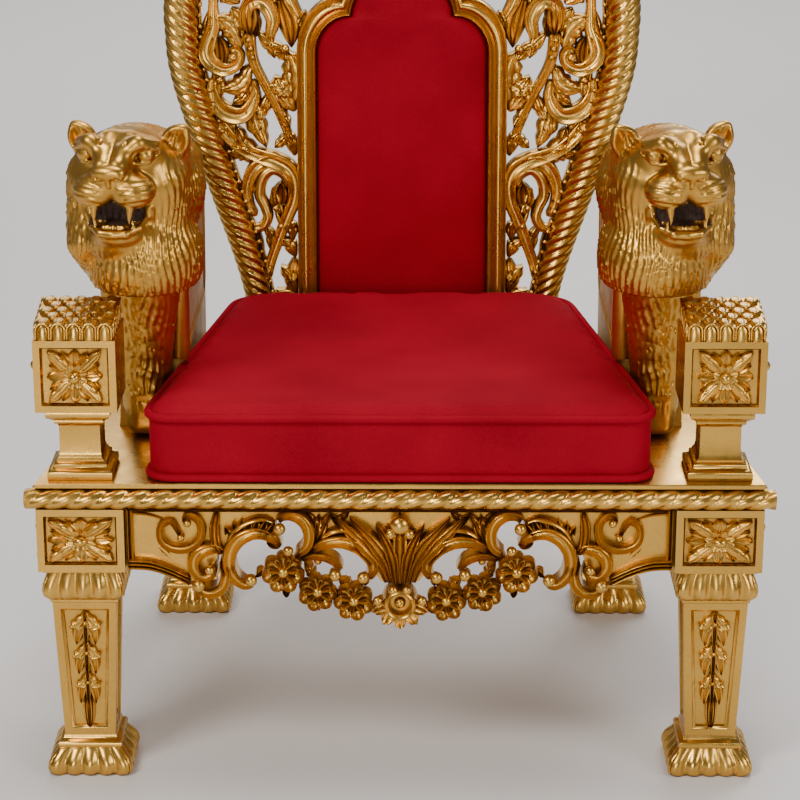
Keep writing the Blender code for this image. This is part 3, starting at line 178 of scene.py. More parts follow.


# Painted shade: the second colour of each gold is the dark tone painted into its hollows.
GOLD = gold("gold_leaf", (0.70, 0.405, 0.085), (0.17, 0.062, 0.009), 0.22, 0.37)
FUR_GOLD = gold("gold_leaf_fur", (0.60, 0.325, 0.062), (0.11, 0.038, 0.006), 0.28, 0.42)
# Painted shade: a near-black, non-metallic material for the back of the open mouth.
MOUTH_SHADE = gold("mouth_shade", (0.035, 0.012, 0.004), (0.012, 0.004, 0.002), 0.6, 0.8, 0.0)
OLD_GOLD = gold("gold_paint_inside", (0.42, 0.23, 0.045), (0.12, 0.05, 0.01), 0.42, 0.60, 0.75)
VELVET = velvet("crimson_velvet")


# Carving tools. A piece is gathered from closed bodies and then becomes one mesh.

class Carving:
    def __init__(self):
        self.points = []
        self.faces = []
        self.count = 0

    def add(self, body, place=None, flip=False):
        points, faces = body
        points = np.asarray(points, dtype=float).reshape(-1, 3)
        if place is not None:
            points = np.stack(np.broadcast_arrays(*place(points[:, 0], points[:, 1], points[:, 2])), axis=1)
        self.points.append(points)
        start = self.count
        if flip:
            self.faces += [tuple(start + i for i in face)[::-1] for face in faces]
        else:
            self.faces += [tuple(start + i for i in face) for face in faces]
        self.count += len(points)

    def add_all(self, bodies, place=None, flip=False):
        """Bodies on one ground, each a hair further out than the last, so no two backs share a plane."""
        for i, (points, faces) in enumerate(bodies):
            self.add((np.asarray(points, dtype=float) + (0, 0, 0.00004 * (i % 40)), faces), place, flip)

    def piece(self, name, material, nodes, mirror=False, angle=40):
        points = np.concatenate(self.points)
        faces = self.faces
        if mirror:
            points = points * np.array((-1, 1, 1))
            faces = [face[::-1] for face in faces]
        mesh = bpy.data.meshes.new(name)
        mesh.from_pydata(points.tolist(), [], faces)
        mesh.validate()
        work = bmesh.new()
        work.from_mesh(mesh)
        bmesh.ops.recalc_face_normals(work, faces=work.faces)
        work.to_mesh(mesh)
        work.free()
        mesh.shade_smooth()
        mesh.set_sharp_from_angle(angle=math.radians(angle))
        mesh.materials.append(material)
        item = bpy.data.objects.new(name, mesh)
        bpy.context.scene.collection.objects.link(item)
        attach(item, "root")
        if nodes:
            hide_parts(*nodes)
        return item


def skin(n, m, rows):
    """Faces between rows of m points and the rows after them; after the n-th row comes the first."""
    faces = []
    for i in range(rows):
        for j in range(m):
            k = (j + 1) % m
            after = (i + 1) % n
            faces.append((i * m + j, i * m + k, after * m + k, after * m + j))
    return faces


def tube(rings):
    """Rings of equally many points, closed round and filled at both ends."""
    rings = np.asarray(rings, dtype=float)
    n, m = rings.shape[:2]
    ends = [tuple(range(m))[::-1], tuple(range((n - 1) * m, n * m))]
    return rings.reshape(-1, 3), skin(n, m, n - 1) + ends


def looped(rings):
    """Rings closed round, and the last joined to the first."""
    rings = np.asarray(rings, dtype=float)
    n, m = rings.shape[:2]
    return rings.reshape(-1, 3), skin(n, m, n)


def ball(centre, radius, squash=1.0, sides=14, levels=8):
    tilt = np.linspace(-math.pi / 2 * 0.96, math.pi / 2 * 0.96, levels)
    turn = np.linspace(0, 2 * math.pi, sides, endpoint=False)
    x = centre[0] + radius * np.cos(tilt)[:, None] * np.cos(turn)[None]
    z = centre[1] + radius * np.cos(tilt)[:, None] * np.sin(turn)[None]
    out = centre[2] + radius * squash * np.sin(tilt)[:, None] + 0 * turn[None]
    return tube(np.stack((x, z, out), axis=-1))


def smooth_path(points, spacing=0.003):
    """A Catmull-Rom curve through flat points, at even spacing."""
    p = np.asarray(points, dtype=float)
    p = np.vstack((2 * p[0] - p[1], p, 2 * p[-1] - p[-2]))
    path = []
    for i in range(1, len(p) - 2):
        t = np.linspace(0, 1, 12, endpoint=False)[:, None]
        a, b, c, d = p[i - 1:i + 3]
        path.append(0.5 * (2 * b + (c - a) * t + (2 * a - 5 * b + 4 * c - d) * t ** 2
                           + (3 * b - 3 * c + d - a) * t ** 3))
    path = np.vstack(path + [p[-2:-1]])
    return even(path, spacing)


def even(path, spacing):
    step = np.linalg.norm(np.diff(path, axis=0), axis=1)
    far = np.concatenate(([0], np.cumsum(step)))
    count = max(4, int(round(far[-1] / spacing)) + 1)
    want = np.linspace(0, far[-1], count)
    return np.stack([np.interp(want, far, path[:, k]) for k in range(path.shape[1])], axis=1)


def across(path):
    """Unit directions across a flat path."""
    along = np.gradient(path, axis=0)
    along /= np.linalg.norm(along, axis=1)[:, None] + 1e-12
    return np.stack((-along[:, 1], along[:, 0]), axis=1)


ROUND = ((-1, 0), (-1, .42), (-.88, .68), (-.66, .86), (-.36, .97), (0, 1), (.36, .97), (.66, .86),
         (.88, .68), (1, .42), (1, 0))
COVE = ((-1, 0), (-1, .78), (-.93, .94), (-.82, 1), (-.70, .96), (-.58, .86), (-.40, .77), (-.1, .72),
        (.18, .73), (.42, .79), (.56, .87), (.68, .91), (.80, .89), (.93, .77), (1, .55), (1, 0))
RIDGES = ((-1, 0), (-1, .76), (-.86, .92), (-.66, .96), (-.5, .87), (-.36, .85), (-.2, .95), (0, 1),
          (.2, .95), (.36, .85), (.5, .87), (.66, .96), (.86, .92), (1, .76), (1, 0))


def band(points, widths, depth, profile=COVE, spacing=0.003, rise=None, flip=False, base=0.0):
    """A carved band along a flat path, its section given as shares of half its width and of its depth."""
    path = smooth_path(points, spacing)
    side = across(path) * (-1 if flip else 1)
    share = np.linspace(0, 1, len(path))
    width = np.interp(share, np.linspace(0, 1, len(widths)), widths)
    lift = depth * (0.55 + 0.45 * width / max(widths))
    from_end = np.minimum(np.arange(len(path)), np.arange(len(path))[::-1]) * spacing / (width * 1.1)
    ending = np.sqrt(np.clip(1 - (1 - np.clip(from_end + 0.06, 0, 1)) ** 2, 0.05, 1))
    width = width * ending
    lift = lift * (0.6 + 0.4 * ending)
    if rise is not None:
        lift = lift * np.interp(share, np.linspace(0, 1, len(rise)), rise)
    section = np.array(profile, dtype=float)
    flat = path[:, None] + side[:, None] * (width[:, None] * section[None, :, 0])[..., None]
    out = base + lift[:, None] * section[None, :, 1]
    return tube(np.concatenate((flat, out[..., None]), axis=-1))


def leaf(base, tip, width, depth, bend=0.0, lobes=3, curl=0.0, ribs=0.5, cup=0.0, steps=24, half_cross=7,
         floor=0.0):
    """A carved leaf: lobed edges that sweep forward, a middle rib and a vein to every lobe."""
    base = np.array(base, dtype=float)
    tip = np.array(tip, dtype=float)
    along = tip - base
    length = np.linalg.norm(along)
    ahead = along / length
    side = np.array((-ahead[1], ahead[0]))
    u = np.linspace(0, 1, steps)[:, None]
    v = np.linspace(-1, 1, 2 * half_cross + 1)[None]
    spread = (0.34 + 0.66 * np.sin(math.pi * np.clip(u * 0.86 + 0.06, 0, 1)) ** 0.9) * (1 - u ** 5) ** 0.6
    beat = np.abs(np.sin(math.pi * lobes * u ** 1.1)) if lobes else 1.0 + 0 * u
    scallop = 0.78 + 0.22 * beat ** 0.8 if lobes else 1.0
    half = width / 2 * spread * scallop
    forward = np.abs(v) ** 1.6 * half * (0.55 if lobes else 0.1) * (1 - u)
    bow = side * (bend * np.sin(math.pi * u))[..., None]
    centre = base[None, None] + ahead * (u * length)[..., None] + bow
    flat = centre + side * (v * half)[..., None] + ahead * forward[..., None]
    a = np.abs(v)
    body = 0.62 + 0.24 * np.sin(math.pi * np.clip(a, 0, 1) ** 0.8) - 0.34 * a ** 5 + cup * (a ** 2 - 0.4)
    rib = 0.14 * np.exp(-(v / 0.12) ** 2) - 0.17 * np.exp(-((a - 0.25) / 0.12) ** 2)
    vein = 0.0
    if lobes:
        phase = np.abs(np.sin(math.pi * lobes * np.clip(u - 0.10 * a + 0.02, 0, 1) ** 1.1))
        vein = -ribs * 0.20 * (1 - phase) ** 3 * np.clip(a * 1.6, 0, 1)
    else:
        vein = ribs * 0.12 * np.cos(3 * math.pi * v)
    swelling = 0.75 + 0.25 * np.sin(math.pi * np.clip(u, 0, 1)) ** 0.5
    out = depth * (body + rib + vein) * swelling + curl * u ** 2.5
    out = np.maximum(out, floor + depth * 0.12)
    out = out + 0 * v
    front = np.concatenate((flat, out[..., None]), axis=-1)
    under = np.concatenate((flat, np.maximum(floor + 0 * out, out - depth * 1.1 - 0.004)[..., None]), axis=-1)
    rings = np.concatenate((front, under[:, [-1, half_cross, 0]]), axis=1)
    return tube(rings)


def petal(centre, turn, inner, outer, width, depth, cup):
    """One cupped petal that reaches out from a flower's middle."""
    t = np.linspace(0, 1, 9)[:, None]
    v = np.linspace(-1, 1, 11)[None]
    half = width / 2 * np.sin(math.pi * np.clip(0.16 + 0.80 * t, 0, 1)) ** 0.55
    span = outer - inner
    reach = inner + span * t - span * 0.10 * v ** 2 * t
    x = centre[0] + reach * math.cos(turn) - half * v * math.sin(turn)
    z = centre[1] + reach * math.sin(turn) + half * v * math.cos(turn)
    rim = np.maximum(np.abs(v), np.clip(t * 1.02, 0, 1) ** 3)
    dish = 0.52 + 0.10 * t + cup * rim ** 3 - 0.32 * (rim > 0.985)
    out = depth * dish + depth * 0.10 * np.exp(-(v / 0.18) ** 2)
    front = np.stack(np.broadcast_arrays(x, z, out), axis=-1)
    under = front[:, [-1, 5, 0]].copy()
    under[..., 2] = 0.0
    return tube(np.concatenate((front, under), axis=1))


def blossom(centre, radius, petals, depth, start):
    """A flower of cupped round petals, parted by clear gaps, round a ball."""
    bodies = []
    for i in range(petals):
        turn = math.radians(start) + 2 * math.pi * i / petals
        middle = (centre[0] + radius * 0.62 * math.cos(turn), centre[1] + radius * 0.62 * math.sin(turn))
        size = radius * 0.40
        rings = []
        for reach, out in ((1.0, 0.52), (1.0, 0.80), (0.97, 0.90), (0.88, 0.95), (0.76, 0.88), (0.5, 0.76),
                           (0.2, 0.71), (0.02, 0.70)):
            ring = []
            for t in np.linspace(0, 2 * math.pi, 18, endpoint=False):
                long = size * reach * (1.12 if math.cos(t) > 0 else 1.35) * math.cos(t)
                narrow = 1.0 if math.cos(t) > 0 else 1.0 - 0.35 * math.cos(t) ** 2
                wide = size * reach * math.sin(t) * narrow
                ring.append((middle[0] + long * math.cos(turn) - wide * math.sin(turn),
                             middle[1] + long * math.sin(turn) + wide * math.cos(turn),
                             depth * (out - 0.10 * (reach < 0.95) * (math.cos(t) < 0))))
            rings.append(ring)
        bodies.append(tube(rings))
    bodies.append(ball((centre[0], centre[1], depth * 0.78), radius * 0.29))
    return bodies


def ring_body(centre, radius, width, depth):
    """A ring with a rounded top that lies on its ground."""
    turn = np.linspace(0, 2 * math.pi, 40, endpoint=False)
    section = np.array(ROUND, dtype=float)
    reach = radius + width / 2 * section[None, :, 0] + 0 * turn[:, None]
    x = centre[0] + reach * np.cos(turn)[:, None]
    z = centre[1] + reach * np.sin(turn)[:, None]
    out = depth * section[None, :, 1] + 0 * turn[:, None]
    return looped(np.stack((x, z, out), axis=-1))


def mm(*points):
    return [(x / 1000, z / 1000) for x, z in points]


# Legs and posts

def square(width, z):
    half = width / 2
    return [(-half, -half, z), (half, -half, z), (half, half, z), (-half, half, z)]


def square_rings(steps):
    return tube([square(width, z) for z, width in steps])


def lobed_block(levels):
    """A square block whose sides are rows of swelling lobes with a fine ridge between each two."""
    rings = []
    lobes, fine = 5, 10
    for z, width, depth in levels:
        half = width / 2
        ring = []
        for side in range(4):
            turn = side * math.pi / 2
            for i in range(lobes * fine):
                k = (i % fine) / fine
                x = -half + width * i / (lobes * fine)
                swell = np.sin(math.pi * k) ** 0.42
                ridge = 0.55 if k == 0 else 0.0
                trim = half - depth * (1 - max(swell, ridge))
                x = max(-trim, min(trim, x))
                ring.append((x * math.cos(turn) + trim * math.sin(turn),
                             x * math.sin(turn) - trim * math.cos(turn), z))
        rings.append(ring)
    return tube(rings)


def sunk_panels(rings_low_high, margin, bevel, depth, sides):
    """A four-sided body with a bevelled sunk panel in each named side."""
    (z0, w0), (z1, w1) = rings_low_high
    points = []
    faces = [(3, 2, 1, 0), (4, 5, 6, 7)]
    for z, width in ((z0, w0), (z1, w1)):
        points += [np.array(p) for p in square(width, z)]
    for side in range(4):
        outer = (side, (side + 1) % 4, (side + 1) % 4 + 4, side + 4)
        if side not in sides:
            faces.append(outer)
            continue
        quad = [points[i] for i in outer]
        middle = sum(quad) / 4
        normal = np.cross(quad[1] - quad[0], quad[3] - quad[0])
        normal /= np.linalg.norm(normal)
        last = outer
        for inset, sink in ((margin, 0.0), (margin + bevel * 0.15, depth * 0.25),
                            (margin + bevel * 0.55, depth * 0.45), (margin + bevel * 0.7, depth),
                            (margin + bevel, depth * 1.02)):
            start = len(points)
            for corner in quad:
                toward = middle - corner
                level = np.array((toward[0], toward[1], 0.0))
                level = level / np.linalg.norm(level) * inset
                upright = np.array((0, 0, math.copysign(inset, toward[2])))
                points.append(corner + level + upright - normal * sink)
            now = tuple(range(start, start + 4))
            for i in range(4):
                j = (i + 1) % 4
                faces.append((last[i], last[j], now[j], now[i]))
            last = now
        faces.append(last)
    return np.array(points), faces


def rosette(size):
    """Ball, ribbed inner petals, four lobed leaves to the corners and a fan of petals to each side."""
    bodies = []
    half = size / 2
    for i in range(4):
        axis = math.pi / 2 * i
        for swing, reach, wide in ((-27, 0.99, 0.19), (27, 0.99, 0.19), (0, 0.97, 0.25)):
            a = axis + math.radians(swing)
            tip = (half * reach * math.cos(a), half * reach * math.sin(a))
            bodies.append(leaf((tip[0] * 0.24, tip[1] * 0.24), tip, size * wide,
                               0.0066 - 0.0008 * (swing == 0), 0, 0, 0.0030, 1.0, 0.25, 14, 5))
        turn = axis + math.pi / 4
        tip = (half * 1.31 * math.cos(turn), half * 1.31 * math.sin(turn))
        bodies.append(leaf((tip[0] * 0.14, tip[1] * 0.14), tip, size * 0.245, 0.0090, 0, 2, 0.0035, 0.7, 0.1,
                           22, 7))
    for i in range(8):
        bodies.append(petal((0, 0), math.pi / 4 * i + math.pi / 8, size * 0.06, size * 0.245, size * 0.17,
                            0.0095, 0.2))
    bodies.append(ball((0, 0, 0.0090), size * 0.105))
    return bodies


FACES = {
    "front": lambda d, c, m: (lambda x, z, out: (c[0] + x, c[1] - d - out, m + z)),
    "back": lambda d, c, m: (lambda x, z, out: (c[0] - x, c[1] + d + out, m + z)),
    "right": lambda d, c, m: (lambda x, z, out: (c[0] + d + out, c[1] + x, m + z)),
    "left": lambda d, c, m: (lambda x, z, out: (c[0] - d - out, c[1] - x, m + z)),
}
SIDE_OF = {"front": 0, "right": 1, "back": 2, "left": 3}


def husks(low, high, half):
    """Husks one under another: paired leaves with curled tips round a bud, and a long drop below."""
    bodies = []
    count = 3
    length = (high - low) * 0.84 / count
    for i in range(count):
        top = high - i * length * 0.94
        size = 1.0 - 0.10 * i
        for sign in (-1, 1):
            bodies.append(leaf((sign * 0.001, top - length * 0.10),
                               (sign * half * 1.12 * size, top - length * 0.46), 0.020 * size, 0.0075,
                               -sign * 0.0045, 2, 0.0045, 0.9, 0.2, 18, 6))
            bodies.append(leaf((sign * 0.001, top - length * 0.20),
                               (sign * half * 0.72 * size, top - length * 0.98), 0.0165 * size, 0.0080,
                               sign * 0.0030, 0, 0.0030, 0.9, 0.0, 18, 6))
            bodies.append(ball((sign * half * 1.06 * size, top - length * 0.42, 0.0065), 0.0028 * size, 0.9,
                               8, 5))
        bodies.append(leaf((0, top - length * 0.10), (0, top - length * 1.02), 0.0105 * size, 0.0100, 0, 0,
                           0.0, 1.0, 0, 14, 4))
        bodies.append(leaf((0, top - length * 0.30), (0, top + length * 0.06), 0.0125 * size, 0.0080, 0, 0,
                           0.001, 1.0, 0, 14, 4))
        bodies.append(ball((0, top - length * 0.30, 0.0075), 0.0030 * size, 0.9, 10, 6))
    for sign in (-1, 1, 0):
        bodies.append(leaf((sign * 0.004, low + (high - low) * 0.26), (sign * 0.0020, low - 0.004), 0.0095,
                           0.0078 + 0.0015 * (not sign), 0, 0, 0, 1.0, 0, 14, 4))
    return bodies


def profile(base, *steps):
    """A moulding in millimetres: height over its base, then its width, and any depth of its lobes."""
    return [(base + step[0] / 1000, *(size / 1000 for size in step[1:])) for step in steps]


def leg(name, x, y, carved, husked):
    """Lobed foot, tapered and panelled shaft, lobed cap, and a square block with rosettes."""
    work = Carving()
    collar, cap = 0.049, LEG_HEIGHT - 0.046
    shaft_low, shaft_high = 0.064, 0.080
    parts = [
        lobed_block(profile(0, (0, 99, 10), (3, 105, 11.5), (9, 108.5, 12), (16, 106.5, 12), (22, 101, 11),
                            (27, 93, 9), (32, 84, 5), (36, 77, 1))),
        square_rings(profile(0, (34, 78), (36.5, 80), (40, 79.5), (42.5, 75), (44, 69), (47.5, 66.5),
                             (49.5, 64.5))),
        sunk_panels(((collar, shaft_low), (cap, shaft_high)), 0.0095, 0.006, 0.0062, (0, 1, 2, 3)),
        square_rings(profile(cap, (-0.5, 80), (1, 84), (4, 84), (6, 78))),
        lobed_block(profile(cap, (3, 80, 1), (5.5, 93, 8), (10, 101.5, 12), (17, 104.5, 13), (25, 102, 12),
                            (33, 96, 9), (39, 91, 6), (42.5, 87, 2))),
        square_rings(profile(LEG_HEIGHT, (-5, 90), (-3, 98), (1, 99))),
        sunk_panels(((LEG_HEIGHT, BLOCK), (BLOCK_TOP, BLOCK)), 0.009, 0.0035, 0.0068,
                    [SIDE_OF[face] for face in carved]),
    ]
    for part in parts:
        work.add(part, lambda a, b, c: (a + x, b + y, c))
    margin = 0.023
    size = BLOCK_TOP - LEG_HEIGHT - margin
    stretch = (BLOCK - margin) / size
    for face in carved:
        place = FACES[face](BLOCK / 2 - 0.0070, (x, y), (LEG_HEIGHT + BLOCK_TOP) / 2)
        work.add_all(rosette(size), lambda a, b, c, place=place: place(a * stretch, b, c))
    slope = (shaft_high - shaft_low) / 2 / (cap - collar)
    for face in husked:
        place = FACES[face](0, (x, y), 0)

        def on_slope(a, b, c, place=place):
            return place(a, b, shaft_low / 2 - 0.0066 + (b - collar) * slope + c)
        work.add_all(husks(collar + 0.014, cap - 0.016, 0.0165), on_slope)
    return work.piece("carved_" + name, GOLD, [name], angle=50)


def legs():
    half = BLOCK / 2
    for word, side in (("left", -1), ("right", 1)):
        front = (side * (FRONT_HALF - half), SEAT_FRONT_Y + half)
        rear = (side * (REAR_HALF - half), SEAT_REAR_Y - half)
        leg("leg_front_" + word, *front, ("front", word), ("front", word))
        leg("leg_rear_" + word, *rear, ("back", word), ("front", word))


def tongue(width, height, depth):
    """An upright round-headed lobe with a raised rim, for the stepped rows on an arm post."""
    half = width * 0.44
    line = [(-half, 0.0), (-half, height - half)]
    line += [(-half * math.cos(t), height - half + half * math.sin(t))
             for t in np.linspace(0.3, math.pi - 0.3, 6)]
    line += [(half, height - half), (half, 0.0)]
    bodies = [band(line, [width * 0.075] * 2, 0.0034, ROUND, 0.0016, base=-0.0005)]
    u = np.linspace(0, 1, 9)[:, None]
    v = np.linspace(-1, 1, 9)[None]
    bulge = half * 0.80 * np.sqrt(np.clip(1 - np.clip((u - 0.5) / 0.5, 0, 1) ** 2, 0.02, 1))
    x = v * bulge
    z = u * height * 0.94 + 0 * v
    crown = 0.4 + 0.6 * np.sin(math.pi * np.clip(u * 0.9 + 0.1, 0, 1)) ** 0.5
    out = 0.0024 * np.cos(v * math.pi / 2) ** 0.7 * crown
    front = np.stack(np.broadcast_arrays(x, z, out), axis=-1)
    back = front[:, [-1, 0]].copy()
    back[..., 2] = -depth
    bodies.append(tube(np.concatenate((front, back), axis=1)))
    return bodies


def post(word, side):
    """Moulded stem, rosette block, and a top with stepped rows of lobes."""
    half = 0.050
    x = side * (FRONT_HALF - 0.005 - half)
    y = SEAT_FRONT_Y + half
    low, high = 0.488, 0.579
    stem = profile(DECK_TOP + GAP, (0, 78), (2, 79.5), (9, 79.5), (11, 78), (12.5, 70), (14, 65.5),
                   (16, 64.5), (17.5, 65.5), (19, 64.5), (20.5, 60), (21.5, 57.5), (23.5, 57.5), (25, 53.5),
                   (31, 50.5))
    stem += profile(low, (-26, 50), (-22, 52.5), (-20.5, 59.5), (-18.5, 61.5), (-16.5, 60), (-15.5, 64),
                    (-13, 70), (-11, 77), (-8, 79), (-4, 78), (1, 74))
    work = Carving()
    carved = ("front", word)
    block = sunk_panels(((low, 0.100), (high, 0.100)), 0.0085, 0.0035, 0.0066,
                        [SIDE_OF[face] for face in carved])
    for part in (square_rings(stem), block):
        work.add(part, lambda a, b, c: (a + x, b + y, c))
    for face in carved:
        work.add_all(rosette(high - low - 0.021), FACES[face](half - 0.0068, (x, y), (low + high) / 2))
    count = 5
    row_half = 0.047
    width = 2 * row_half / count
    front = y - half + 0.0035
    rear = y + half - 0.002
    for i in range(count):
        work.add_all(tongue(width * 0.98, 0.0200, 0.012),
                     lambda a, b, c, i=i: (x - row_half + width * (i + 0.5) + a, front - c + 0.18 * b,
                                           high + b))
    toe, heel = front + 0.004, rear - 0.010
    toe_rise, heel_rise = 0.0165, 0.0270
    wedge = [(toe, high - 0.001), (toe, high + toe_rise), (heel, high + heel_rise), (rear, high + 0.0275),
             (rear, high - 0.001)]
    work.add(tube([[(x + s * row_half, b, c) for b, c in wedge] for s in (-1, 1)]))
    slope = (heel_rise - toe_rise) / (heel - toe)
    scale = leaf((0, 0), (0, -0.026), width * 1.02, 0.0058, 0, 2, 0.0030, 0.9, 0.15, 18, 6)
    for row in range(4, -1, -1):
        start = front + 0.028 + row * 0.0165
        for i in range(count - row % 2):
            cx = x - row_half + width * (i + 0.5 + 0.5 * (row % 2))
            work.add(scale, lambda a, b, c, cx=cx, start=start: (
                cx + a, np.minimum(start + b, rear), high + 0.0150 + (start + b - toe) * slope + c))
    for edge in (-1, 1):
        for step in range(5):
            foot = front + 0.006 + step * 0.0175
            top = high + toe_rise + (foot - front) * slope
            line = [(foot, high + 0.002), (foot + 0.001, top - 0.005), (foot + 0.006, top - 0.0005),
                    (foot + 0.015, top + 0.0015)]
            work.add(band(line, [0.0019, 0.0019], 0.0024, ROUND, 0.002),
                     lambda a, b, c, edge=edge: (x + edge * (0.0468 + c), a, b))
    return work.piece("carved_arm_post_" + word, GOLD, ["arm_post_" + word], angle=50)


# Seat frame

def half_width(y):
    return FRONT_HALF + (REAR_HALF - FRONT_HALF) * (y - SEAT_FRONT_Y) / (SEAT_REAR_Y - SEAT_FRONT_Y)


def deck():
    rings = []
    for z, inset in ((DECK_LOW, FILLET), (DECK_TOP - FILLET, FILLET), (DECK_TOP - FILLET, 0.0012),
                     (DECK_TOP - FILLET + 0.001, 0.0), (DECK_TOP - 0.0016, 0.0), (DECK_TOP - 0.0004, 0.0008),
                     (DECK_TOP, 0.0022)):
        front = SEAT_FRONT_Y + inset
        rear = SEAT_REAR_Y - inset * (inset < 0.003)
        rings.append([(-half_width(front) + inset, front, z), (half_width(front) - inset, front, z),
                      (half_width(rear) - inset, rear, z), (-half_width(rear) + inset, rear, z)])
    work = Carving()
    work.add(tube(rings))
    return work.piece("gilded_seat_deck", GOLD, ["seat_deck"], angle=30)


def twist_bump(angle, strands, depth):
    """How full a rope is at an angle round it: round strands with a tight groove between."""
    return 1.0 - depth * (1.0 - np.abs(np.sin(strands * angle / 2)) ** 0.60)


def seat_rope(name, length, place, hand):
    """Half-round rope moulding of three strands along a straight run."""
    count = int(length / 0.0026)
    run = np.linspace(0, length, count)[:, None]
    turn = np.linspace(0, math.pi, 22)[None]
    lead = 0.081
    bump = twist_bump(turn + hand * 2 * math.pi * run / lead, 3, 0.24)
    up = 0.0132 * bump * np.cos(turn)
    out = 0.0195 * bump * np.sin(turn)
    rings = np.stack(np.broadcast_arrays(run, up, out), axis=-1)
    work = Carving()
    work.add(tube(rings), place)
    return work.piece(name, GOLD, [name.replace("twisted_", "")], angle=60)


def seat_ropes():
    middle = DECK_LOW + (DECK_TOP - FILLET - DECK_LOW) / 2
    end = FRONT_HALF + 0.0125
    front = SEAT_FRONT_Y + FILLET - GAP
    seat_rope("twisted_rope_moulding_front", 2 * end,
              lambda run, up, out: (run - end, front - out, middle + up), 1)
    start = SEAT_FRONT_Y + FILLET + GAP
    for word, side in (("left", -1), ("right", 1)):
        def place(run, up, out, side=side):
            y = start + run
            return (side * (half_width(y) - FILLET + 2 * GAP + out), y + 0 * up, middle + up)
        seat_rope("twisted_rope_moulding_" + word, SEAT_REAR_Y - start, place, -side)


def rail_section(low, top, upper_bead):
    """Out and up round a rail: a plain board with a sunk quirk near each moulded edge."""
    quirk = [(-0.002, top - 0.010), (-0.002, top - 0.008), (0.0, top - 0.007), (0.0, top)]
    face = [(0.0, low + 0.001), (0.0, low + 0.008), (-0.002, low + 0.009), (-0.002, low + 0.011),
            (0.0005, low + 0.012)]
    face += [(0.0005, top - 0.011)] + quirk if upper_bead else [(0.0005, top)]
    return face + [(-0.0235, top), (-0.0235, low + 0.001), (-0.022, low), (-0.002, low)]


def rail(name, rings):
    work = Carving()
    work.add(tube(rings))
    work.piece("moulded_" + name, OLD_GOLD, [name], angle=30)


def rails():
    low = BLOCK_TOP - RAIL_HEIGHT
    front = SEAT_FRONT_Y + BLOCK + GAP
    rear = SEAT_REAR_Y - BLOCK - GAP
    for word, side in (("left", -1), ("right", 1)):
        rings = []
        for y in np.linspace(front, rear, 12):
            edge = FRONT_HALF - RAIL_INSET + (REAR_HALF - FRONT_HALF) * (y - front) / (rear - front)
            rings.append([(side * (edge + o), y, z) for o, z in rail_section(low, BLOCK_TOP, True)])
        rail("side_rail_" + word, rings)
    half = REAR_HALF - BLOCK - GAP
    back = SEAT_REAR_Y - RAIL_INSET
    face = rail_section(low, BLOCK_TOP, False)
    rail("rear_rail", [[(x, back + o, z) for o, z in face] for x in np.linspace(-half, half, 14)])


# Apron

